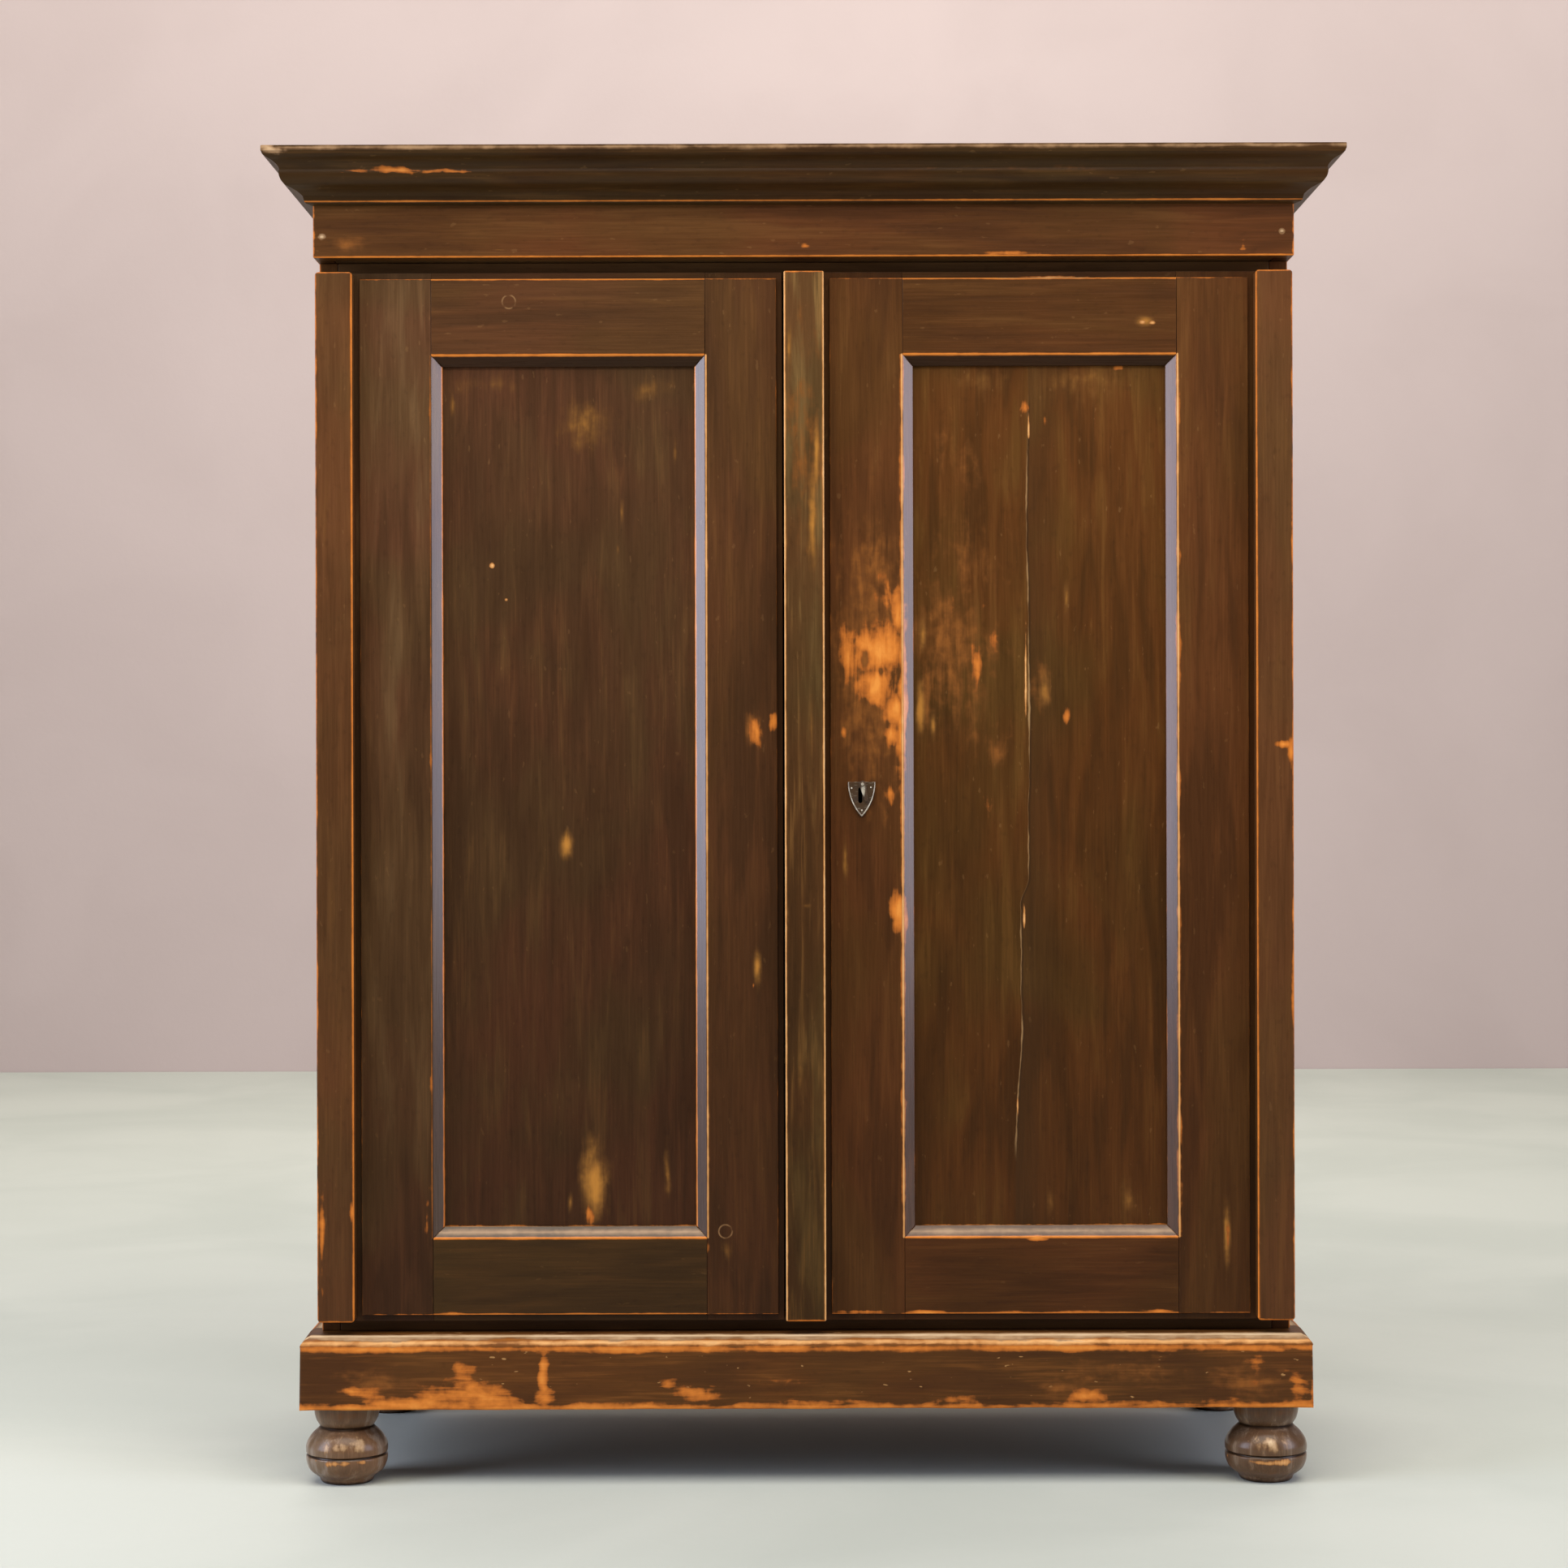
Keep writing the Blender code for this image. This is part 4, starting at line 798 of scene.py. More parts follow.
# The left door's stains are cooler and greyer than the right door's: partly painted reflection of the cool light from
# the left, partly the door's own tone.
LEFT_FRAME = WoodFinish(stain=(86, 52, 27), olive=(77, 49, 23), deep=(60, 38, 18), fall=0.60)
LEFT_STILE = replace(
    LEFT_FRAME, stain=(91, 57, 34), olive=(85, 59, 33), haze=(120, 92, 60), haze_share=0.40, fall=0.72
)
LEFT_RAIL = replace(LEFT_FRAME, stain=(82, 57, 28), olive=(75, 54, 25), deep=(60, 42, 20))
RIGHT_FRAME = WoodFinish(stain=(92, 53, 23), olive=(82, 50, 19), deep=(62, 36, 13))
# The right door's top rail: a darker copy of the right frame's stain, painted shade under the frieze and cornice.
SHADED_RIGHT_RAIL = replace(RIGHT_FRAME, stain=(85, 49, 20), olive=(77, 46, 17), deep=(58, 33, 12))
BOARD_FINISHES = {
    "left_door_hinge_stile": LEFT_STILE,
    "left_door_bottom_rail": LEFT_RAIL,
    "right_door_top_rail": SHADED_RIGHT_RAIL,
}
# The left panel's stain is cooler than the right panel's: partly painted reflection of the cool light from the left,
# partly its own tone.
LEFT_PANEL = WoodFinish((82, 49, 28), (73, 49, 26), (60, 38, 19), (104, 77, 43), 0.30, streak_share=0.14, fall=0.66)
RIGHT_PANEL = WoodFinish((89, 51, 17), (79, 51, 17), (58, 35, 9), (110, 76, 31), 0.32, (120, 78, 34), 0.14, specks=0.12)
BATTEN = WoodFinish((96, 59, 31), (88, 58, 30), (74, 45, 21), haze_share=0.2, gloss=0.40, fall=0.35)
STRIP = WoodFinish(
    (92, 60, 31), (82, 60, 31), (64, 42, 20), (122, 96, 55), 0.54, (140, 100, 52), 0.44, gloss=0.38, fall=0.80
)
PLINTH = WoodFinish(
    stain=(90, 53, 20),
    olive=(82, 50, 19),
    haze=(112, 70, 29),
    haze_share=0.4,
    streak=(138, 84, 34),
    streak_share=0.30,
    specks=0.8,
    restless=1.1,
    gloss=0.5,
    fall=0.1,
)
# A foot's pale grey haze and streaks are a painted blue-grey sheen.
FOOT = WoodFinish(
    (118, 86, 60), (110, 88, 66), (78, 54, 36), (158, 142, 128), 0.7, (164, 140, 114), 0.3,
    specks=0.2,
    restless=1.2,
    gloss=0.32,
    coat=0.30,
    fall=0.0,
)
# The other feet: browner, with a weaker painted sheen.
BROWN_FOOT = replace(FOOT, stain=(102, 72, 48), olive=(94, 70, 50), haze=(138, 118, 100), haze_share=0.5)
CORNICE = WoodFinish(stain=(66, 40, 14), olive=(61, 40, 15), deep=(49, 29, 10), haze=(80, 57, 27), haze_share=0.3)
DARK = WoodFinish(stain=(98, 65, 34), olive=(92, 63, 34), deep=(76, 49, 24), haze=(108, 76, 42), specks=0.05)
IRON = MetalFinish((74, 70, 66), (48, 38, 32), (132, 126, 118), 0.48, 0.9)
BRASS = MetalFinish((84, 62, 42), (56, 39, 25), (206, 196, 176), 0.38, 0.5)


# The bench


def hold(piece: Piece) -> None:
    """Choose one piece and nothing else."""
    bpy.ops.object.select_all(action="DESELECT")
    piece.select_set(True)
    bpy.context.view_layer.objects.active = piece


def added(name: str, command: Callable[..., set[str]], **settings: object) -> Piece:
    """Add an object with one of Blender's commands, and name it.

    Args:
        name: the object's name.
        command: the command that adds it.
        settings: what the command is given.

    Returns:
        The object.
    """
    bpy.ops.object.select_all(action="DESELECT")
    command(**settings)
    bpy.context.active_object.name = name
    return bpy.context.active_object


@contextmanager
def editing(piece: Piece, everything: bool = False) -> Iterator[bmesh.types.BMesh]:
    """Open a piece for editing with nothing or everything chosen on it, and close it afterwards.

    Args:
        piece: the piece.
        everything: whether all of it is chosen.

    Returns:
        Its open mesh.
    """
    hold(piece)
    bpy.ops.object.mode_set(mode="EDIT")
    bpy.context.tool_settings.mesh_select_mode = (True, True, True)
    bpy.ops.mesh.select_all(action="SELECT" if everything else "DESELECT")
    yield bmesh.from_edit_mesh(piece.data)
    bpy.ops.object.mode_set(mode="OBJECT")


def choose(piece: Piece, parts: Sequence[object], wanted: Callable[[object], bool]) -> None:
    """Choose the corners, edges or faces of an open piece that pass a test, and no others.

    Args:
        piece: the piece.
        parts: its corners, edges or faces.
        wanted: the test.
    """
    bpy.ops.mesh.select_all(action="DESELECT")
    for part in parts:
        if wanted(part):
            part.select_set(True)
    bmesh.update_edit_mesh(piece.data)


def push(move: Place) -> None:
    """Draw what is chosen out of an open piece."""
    bpy.ops.mesh.extrude_region_move(TRANSFORM_OT_translate={"value": move})


def resize(scale: Place, pivot: Place) -> None:
    """Resize what is chosen on an open piece about a point."""
    bpy.ops.transform.resize(value=scale, center_override=pivot)


def settle(piece: Piece, name: str) -> Piece:
    """Name a piece, and put its place into its mesh.

    Args:
        piece: the piece.
        name: its name.

    Returns:
        The piece.
    """
    piece.name = name
    piece.data.name = name
    hold(piece)
    bpy.ops.object.transform_apply(location=True, rotation=True, scale=True)
    return piece


def new_block(name: str, low: Vector, high: Vector) -> Piece:
    """A block between two corners, to be shaped further."""
    command = bpy.ops.mesh.primitive_cube_add
    return settle(added(name, command, size=1, location=(low + high) / 2, scale=high - low), name)


def copy_of_solid(node: str) -> Piece:
    """A joined-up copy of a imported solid, to be shaped further.

    Args:
        node: the solid's name.

    Returns:
        The copy, named after it.
    """
    hold(bpy.data.objects[node])
    bpy.ops.object.duplicate()
    piece = bpy.context.active_object
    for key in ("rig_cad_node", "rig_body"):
        del piece[key]
    piece.parent = None
    settle(piece, node + "_board")
    bpy.ops.mesh.customdata_custom_splitnormals_clear()
    with editing(piece, everything=True):
        bpy.ops.mesh.remove_doubles(threshold=HAIR)
        bpy.ops.mesh.dissolve_limited(angle_limit=math.radians(1))
    return piece


def straight_edge(edge: bmesh.types.BMEdge) -> bool:
    """Whether an edge is long, sharp and stands out."""
    return edge.is_manifold and edge.is_convex and edge.calc_length() > 0.02 and edge.calc_face_angle() > 0.5


def before(y: float) -> Callable[[bmesh.types.BMEdge], bool]:
    """A test of whether an edge lies no further back than a depth."""
    return lambda edge: all(end.co.y < y + HAIR for end in edge.verts)


def middle_of(edge: bmesh.types.BMEdge) -> Vector:
    """The middle of an edge."""
    return (edge.verts[0].co + edge.verts[1].co) / 2


def soften(piece: Piece, width: float, steps: int, wanted: Callable[[bmesh.types.BMEdge], bool]) -> None:
    """Round the edges of a piece that pass a test.

    Args:
        piece: the piece.
        width: how wide the rounding is.
        steps: how many faces it has.
        wanted: the test.
    """
    with editing(piece) as mesh:
        choose(piece, mesh.edges, wanted)
        bpy.ops.mesh.bevel(offset=width, segments=steps, affect="EDGES", clamp_overlap=True)


def even_shading(piece: Piece, angle: float = 35.0) -> None:
    """Shade a piece smooth over its roundings, with its flat faces kept flat.

    Args:
        piece: the piece.
        angle: the sharpest bend, in degrees, that is shaded smooth.
    """
    hold(piece)
    bpy.ops.object.shade_smooth_by_angle(angle=math.radians(angle))
    modifier = piece.modifiers.new("even_shading", "WEIGHTED_NORMAL")
    modifier.keep_sharp = True
    bpy.ops.object.modifier_apply(modifier=modifier.name)


def eased(node: str, rounding: float) -> Piece:
    """A copy of a solid with its long edges rounded.

    Args:
        node: the solid's name.
        rounding: how wide the rounding is.

    Returns:
        The copy.
    """
    piece = copy_of_solid(node)
    soften(piece, rounding, 2, straight_edge)
    even_shading(piece)
    return piece


def drawn(name: str, points: Sequence[Place]) -> Piece:
    """A closed line drawn from corner to corner.

    Args:
        name: the piece's name.
        points: the corners.

    Returns:
        The line, as a piece.
    """
    piece = settle(added(name, bpy.ops.mesh.primitive_plane_add, size=0.01, location=points[0]), name)
    with editing(piece, everything=True):
        bpy.context.tool_settings.mesh_select_mode = (True, False, False)
        bpy.ops.mesh.merge(type="CENTER")
        for start, end in zip(points, points[1:]):
            push(tuple(there - here for here, there in zip(start, end)))
        mesh = bmesh.from_edit_mesh(piece.data)
        choose(piece, mesh.verts, lambda corner: len(corner.link_edges) == 1)
        bpy.ops.mesh.edge_face_add()
    return piece


def face_outwards(piece: Piece) -> None:
    """Join what meets, and point every face of a closed piece outwards."""
    with editing(piece, everything=True):
        bpy.ops.mesh.remove_doubles(threshold=HAIR)
        bpy.ops.mesh.normals_make_consistent(inside=False)


def smooth_line(points: Sequence[tuple[float, float]], corners: Sequence[int], steps: int) -> list[tuple[float, float]]:
    """A smooth line through points, with some of them left as sharp corners.

    Args:
        points: the points.
        corners: the numbers of those that stay sharp.
        steps: how many steps there are between two points.

    Returns:
        The line.
    """
    line = [points[0]]
    for number in range(len(points) - 1):
        here, there = points[number], points[number + 1]
        last = points[number - 1] if number > 0 and number not in corners else here
        after = points[number + 2] if number + 2 < len(points) and number + 1 not in corners else there
        count = 1 if number in corners and number + 1 in corners else steps
        for t in (step / count for step in range(1, count + 1)):
            line.append(
                tuple(
                    0.5 * (2 * b + (c - a) * t + (2 * a - 5 * b + 4 * c - d) * t**2 + (3 * b - a - 3 * c + d) * t**3)
                    for a, b, c, d in zip(last, here, there, after)
                )
            )
    return line


def turned(name: str, centre: Place, profile: Sequence[tuple[float, float]], axis: Run, sides: int) -> Piece:
    """A turned piece, raised ring by ring from a disc.

    Args:
        name: its name.
        centre: the middle of its foot.
        profile: the radius and height of each ring, from the foot.
        axis: UP for one that stands, DEPTH for one that faces the front.
        sides: how many sides a ring has.

    Returns:
        The piece.
    """
    facing = axis is Run.DEPTH
    ring = {"vertices": sides, "radius": profile[0][0], "fill_type": "NGON"}
    spot = {"location": centre, "rotation": (math.pi / 2, 0, 0) if facing else (0, 0, 0)}
    piece = settle(added(name, bpy.ops.mesh.primitive_circle_add, **ring, **spot), name)
    with editing(piece, everything=True):
        for (radius, height), (wider, higher) in zip(profile, profile[1:]):
            rise, grow = higher - height, wider / radius
            push((0, -rise, 0) if facing else (0, 0, rise))
            resize((grow, 1, grow) if facing else (grow, grow, 1), centre)
    face_outwards(piece)
    return piece


def hand_over(piece: Piece, body: str, slot: Slot, *nodes: str) -> None:
    """Fix a finished piece to its body, in place of the solids that it stands for.

    Args:
        piece: the piece.
        body: the body that carries it.
        slot: the record's slot of its finish; not used.
        nodes: the solids that it replaces.
    """
    if nodes:
        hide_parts(*nodes)
    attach(piece, body)
    log.info("%s: %d faces, on %s", piece.name, len(piece.data.polygons), body)


# The cupboard's parts


@dataclass
class Feet:
    """Four turned bun feet."""

    names: tuple[str, ...] = ("foot_front_left", "foot_front_right", "foot_back_left", "foot_back_right")
    sides: int = 72
    steps: int = 3
    profile: tuple[tuple[float, float], ...] = (
        (0.0300, 0.0000), (0.0318, 0.0022), (0.0334, 0.0060), (0.0385, 0.0100), (0.0444, 0.0150),
        (0.0477, 0.0220), (0.0489, 0.0280), (0.0488, 0.0318), (0.0472, 0.0340), (0.0488, 0.0360),
        (0.0491, 0.0410), (0.0487, 0.0445), (0.0464, 0.0505), (0.0410, 0.0580), (0.0345, 0.0640),
        (0.0319, 0.0670), (0.0340, 0.0700), (0.0368, 0.0750), (0.0387, 0.0820), (0.0394, 0.0923),
    )
    corners: tuple[int, ...] = (0, 7, 9, 15)

    def build(self) -> None:
        """Turn each foot in the place of its solid."""
        profile = smooth_line(self.profile, self.corners, self.steps)
        for name in self.names:
            low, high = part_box(name)
            middle = (low + high) / 2
            foot = turned(name + "_turned", (middle.x, middle.y, low.z), profile, Run.UP, self.sides)
            even_shading(foot, 40.0)
            self.dress(foot, middle)
            hand_over(foot, "carcass", Slot.FOOT, name)

    def dress(self, foot: Piece, middle: Vector) -> None:
        """Stain a foot, worn on the lip under its groove, with painted shade in its groove, under its neck and round
        its base, and a painted sheen on its upper front.

        Args:
            foot: the foot.
            middle: the middle of its solid.
        """
        x, y, _ = middle
        worn = [
            Worn((x, y, 0.0150), (0.12, 0.12, 0.0190), 0.50, Look.THIN, 0.5),
            Worn((x, y - 0.04, 0.0292), (0.06, 0.04, 0.0050), 0.45, Look.CREAM),
            # Pale on the upper front: painted sheen.
            Worn((x, y - 0.05, 0.0500), (0.05, 0.04, 0.0150), 0.45, Look.DUST_AND_SHEEN),
            Worn((x, y, 0.0850), (0.12, 0.12, 0.0120), 0.60, Look.THIN, 0.5),
            # Painted shade in the groove, under the neck and round the base.
            Worn((x, y, 0.0340), (0.20, 0.20, 0.0034), 0.95, Look.CREASE_SHADE, 0.2),
            Worn((x, y, 0.0668), (0.20, 0.20, 0.0050), 0.70, Look.CREASE_SHADE, 0.3),
            Worn((x, y, 0.0000), (0.20, 0.20, 0.0080), 0.70, Look.CREASE_SHADE, 0.3),
        ]
        # The front left foot takes the finish with the stronger painted sheen.
        finish = FOOT if foot.name.startswith("foot_front_left") else BROWN_FOOT
        finish.dress(foot, Run.UP, History(worn))


@dataclass
class Plinth:
    """The heavy base: a front rail with a broad worn top edge, two side rails and a back rail."""

    rounding: float = 0.0115
    corner: float = 0.004
    columns: int = 60
    ripple: float = 0.0030
    ripple_size: float = 0.07
    carcass_side: float = 0.5305

    def build(self) -> None:
        """Make and stain the four rails."""
        self.front()
        for side in ("plinth_left", "plinth_right"):
            rail = eased(side, 0.0015)
            low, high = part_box(side)
            outward = 1 if low.x > 0 else -1
            outer = high.x if low.x > 0 else low.x
            worn = [
                ridge((outer - outward * 0.004, 0, high.z - 0.004), Run.DEPTH, 0.010, 0.60),
                ridge((outer, 0, low.z), Run.DEPTH, 0.008, 0.50, ragged=1.0),
                # Pale along the top: painted highlight where the top faces the light.
                ridge((outer - outward * 0.014, 0, high.z), Run.DEPTH, 0.012, 0.60, Look.DUST_AND_SHEEN),
                Worn((outer, -0.12, 0.112), (PATCH_DEPTH, 0.07, 0.014), 0.50),
                Worn((outer, 0.10, 0.130), (PATCH_DEPTH, 0.06, 0.020), 0.60, Look.THIN),
            ]
            bare = Bare(Run.ACROSS, outward * self.carcass_side, -outward)
            PLINTH.dress(rail, Run.DEPTH, History(worn), Form(bare=bare))
            hand_over(rail, "carcass", Slot.PLINTH, side)
        back = eased("plinth_back", 0.002)
        INSIDE.dress(back, Run.ACROSS)
        hand_over(back, "carcass", Slot.INSIDE, "plinth_back")

    def front(self) -> None:
        """Make the front rail, wear its edges unevenly, and stain it."""
        low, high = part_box("plinth_front")
        rail = new_block("plinth_front_rail", low, high)

        def top_edge(edge: bmesh.types.BMEdge) -> bool:
            """Whether an edge lies along the top, at the front or at an end."""
            spot = middle_of(edge)
            return spot.z > high.z - HAIR and spot.y < high.y - HAIR

        def lower_edge(edge: bmesh.types.BMEdge) -> bool:
            """Whether an edge lies along the front's bottom or stands at a front corner."""
            spot = middle_of(edge)
            return spot.y < low.y + HAIR and spot.z < high.z - self.rounding - HAIR

        soften(rail, self.rounding, 6, top_edge)
        soften(rail, self.corner, 3, lower_edge)
        with editing(rail):
            for number in range(1, self.columns):
                bpy.ops.mesh.select_all(action="SELECT")
                across = low.x + (high.x - low.x) * number / self.columns
                bpy.ops.mesh.bisect(plane_co=(across, 0, 0), plane_no=(1, 0, 0))
        self.wear_down(rail, low, high)
        even_shading(rail, 40.0)
        y = low.y
        worn = [
            ridge((0, y + 0.0080, high.z - 0.0020), Run.ACROSS, 0.0260, 1.10, Look.THIN, 0.2),
            ridge((0, y + 0.0200, high.z), Run.ACROSS, 0.0260, 0.70, Look.OLIVE, 0.4),
            ridge((0, y + 0.0002, high.z - 0.0125), Run.ACROSS, 0.0075, 0.72, ragged=0.9),
            ridge((0, y + 0.0110, high.z), Run.ACROSS, 0.0160, 0.50, ragged=0.9),
            ridge((0, y + 0.0030, high.z - 0.0036), Run.ACROSS, 0.0088, 0.62, Look.CREAM, 0.6),
            # Pale along the top ledge: painted highlight where it faces the light.
            ridge((0, y + 0.0200, high.z), Run.ACROSS, 0.0220, 0.94, Look.DUST_AND_SHEEN, 0.5),
            ridge((0, y, low.z), Run.ACROSS, 0.0135, 0.92, ragged=0.9),
            ridge((low.x, y, 0), Run.UP, 0.0040, 0.40, ragged=0.8),
            ridge((high.x, y, 0), Run.UP, 0.0070, 0.65, ragged=0.8),
        ]
        for look, rows in PLINTH_MARKS.items():
            worn += patches(y, look, *rows)
        PLINTH.dress(rail, Run.ACROSS, History(worn))
        hand_over(rail, "carcass", Slot.PLINTH, "plinth_front")

    def wear_down(self, rail: Piece, low: Vector, high: Vector) -> None:
        """Ripple the front edges of the rail.

        Args:
            rail: the rail, cut into columns.
            low: its lowest corner.
            high: its highest corner.
        """
        group = rail.vertex_groups.new(name="front_edges")
        middle = (low + high) / 2
        for corner in rail.data.vertices:
            spot = corner.co
            if spot.y < middle.y and (spot.z > high.z - self.rounding - HAIR or spot.z < low.z + self.corner + HAIR):
                group.add([corner.index], 0.0 if spot.z > high.z - HAIR else 1.0, "REPLACE")
        clouds = bpy.data.textures.new("edge_ripple", "CLOUDS")
        clouds.noise_scale = self.ripple_size
        ripple = rail.modifiers.new("ripple", "DISPLACE")
        ripple.texture = clouds
        ripple.texture_coords = "LOCAL"
        ripple.strength = -self.ripple
        ripple.mid_level = 0.0
        ripple.vertex_group = group.name
        hold(rail)
        bpy.ops.object.modifier_apply(modifier=ripple.name)
        rail.vertex_groups.clear()


@dataclass
class Carcass:
    """The case behind the doors: sides, floor, ceiling, shelves and a planked back."""

    inner: float = 0.5630
    rounding: float = 0.0012

    def build(self) -> None:
        """Make and finish the boards of the case."""
        for node, inward in (("side_left", 1), ("side_right", -1)):
            side = eased(node, self.rounding)
            low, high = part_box(node)
            outer = low.x if inward > 0 else high.x
            worn = [
                ridge((outer, low.y, 0), Run.UP, 0.0030, 0.60),
                ridge((outer, high.y, 0), Run.UP, 0.0040, 0.55),
                Worn((outer, 0.08, 0.80), (PATCH_DEPTH, 0.07, 0.42), 0.42, Look.THIN, 0.6),
                Worn((outer, -0.08, 1.16), (PATCH_DEPTH, 0.05, 0.30), 0.40, Look.OLIVE, 0.6),
                Worn((outer, -0.13, 0.46), (PATCH_DEPTH, 0.03, 0.20), 0.36, Look.THIN, 0.6),
                Worn((outer, 0.21, 0.36), (PATCH_DEPTH, 0.04, 0.22), 0.36, Look.OLIVE, 0.6),
            ]
            start = -inward * (self.inner + 0.0004)
            FRAME.dress(side, Run.UP, History(worn), Form(bare=Bare(Run.ACROSS, start, inward)))
            hand_over(side, "carcass", Slot.FRAME, node)
        for node, inward in (("bottom_board", 1), ("top_board", -1)):
            board = eased(node, self.rounding)
            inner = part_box(node)[1 if inward > 0 else 0].z - inward * 0.0014
            DARK.dress(board, Run.ACROSS, History(), Form(bare=Bare(Run.UP, inner, inward)))
            hand_over(board, "carcass", Slot.FRAME, node)
        shelves = [(f"shelf_{level}", INSIDE, Run.ACROSS) for level in ("lower", "middle", "upper")]
        planks = [(f"back_plank_{number}", finish, Run.UP) for number, finish in enumerate(PLANKS, start=1)]
        for node, finish, run in shelves + planks:
            board = eased(node, self.rounding)
            finish.dress(board, run)
            hand_over(board, "carcass", Slot.INSIDE, node)


@dataclass
class Frieze:
    """The boards over the doors, with the soffit and the dust board."""

    rounding: float = 0.0014
    nails: tuple[tuple[float, float], ...] = ((-0.5763, 1.4939), (0.5724, 1.4979))
    nail_radius: float = 0.0030

    def build(self) -> None:
        """Make and finish the frieze's boards."""
        low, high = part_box("frieze_front")
        front = new_block("frieze_front_board", low, high)
        soften(front, self.rounding, 3, lambda edge: True)
        even_shading(front)
        y = low.y
        worn = [
            ridge((0, y, low.z), Run.ACROSS, 0.0034, 0.92),
            ridge((low.x, y, 0), Run.UP, 0.0040, 0.60, ragged=0.9),
            ridge((high.x, y, 0), Run.UP, 0.0036, 0.60, ragged=0.9),
        ]
        for look, rows in FRIEZE_MARKS.items():
            worn += patches(y, look, *rows)
        worn += patches(y, Look.DUST_AND_SHEEN, *((x, z, 0.0070, 0.0050, 0.60) for x, z in self.nails))
        plugs = [Plug((x, y, z), self.nail_radius) for x, z in self.nails]
        FRAME.dress(front, Run.ACROSS, History(worn, plugs=plugs))
        hand_over(front, "carcass", Slot.FRAME, "frieze_front")
        for node in ("frieze_left", "frieze_right"):
            side = eased(node, self.rounding)
            low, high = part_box(node)
            outer = low.x if low.x < 0 else high.x
            worn = [
                ridge((outer, 0, low.z), Run.DEPTH, 0.0034, 0.75),
                Worn((outer, 0.05, 1.50), (PATCH_DEPTH, 0.12, 0.02), 0.60, Look.THIN),
            ]
            FRAME.dress(side, Run.DEPTH, History(worn))
            hand_over(side, "carcass", Slot.FRAME, node)
        soffit = eased("soffit_board", self.rounding)
        DARK.dress(soffit, Run.ACROSS, History())
        hand_over(soffit, "carcass", Slot.INSIDE, "soffit_board")
        dust_board = eased("dust_board", self.rounding)
        DUSTED.dress(dust_board, Run.ACROSS)
        hand_over(dust_board, "carcass", Slot.INSIDE, "dust_board")


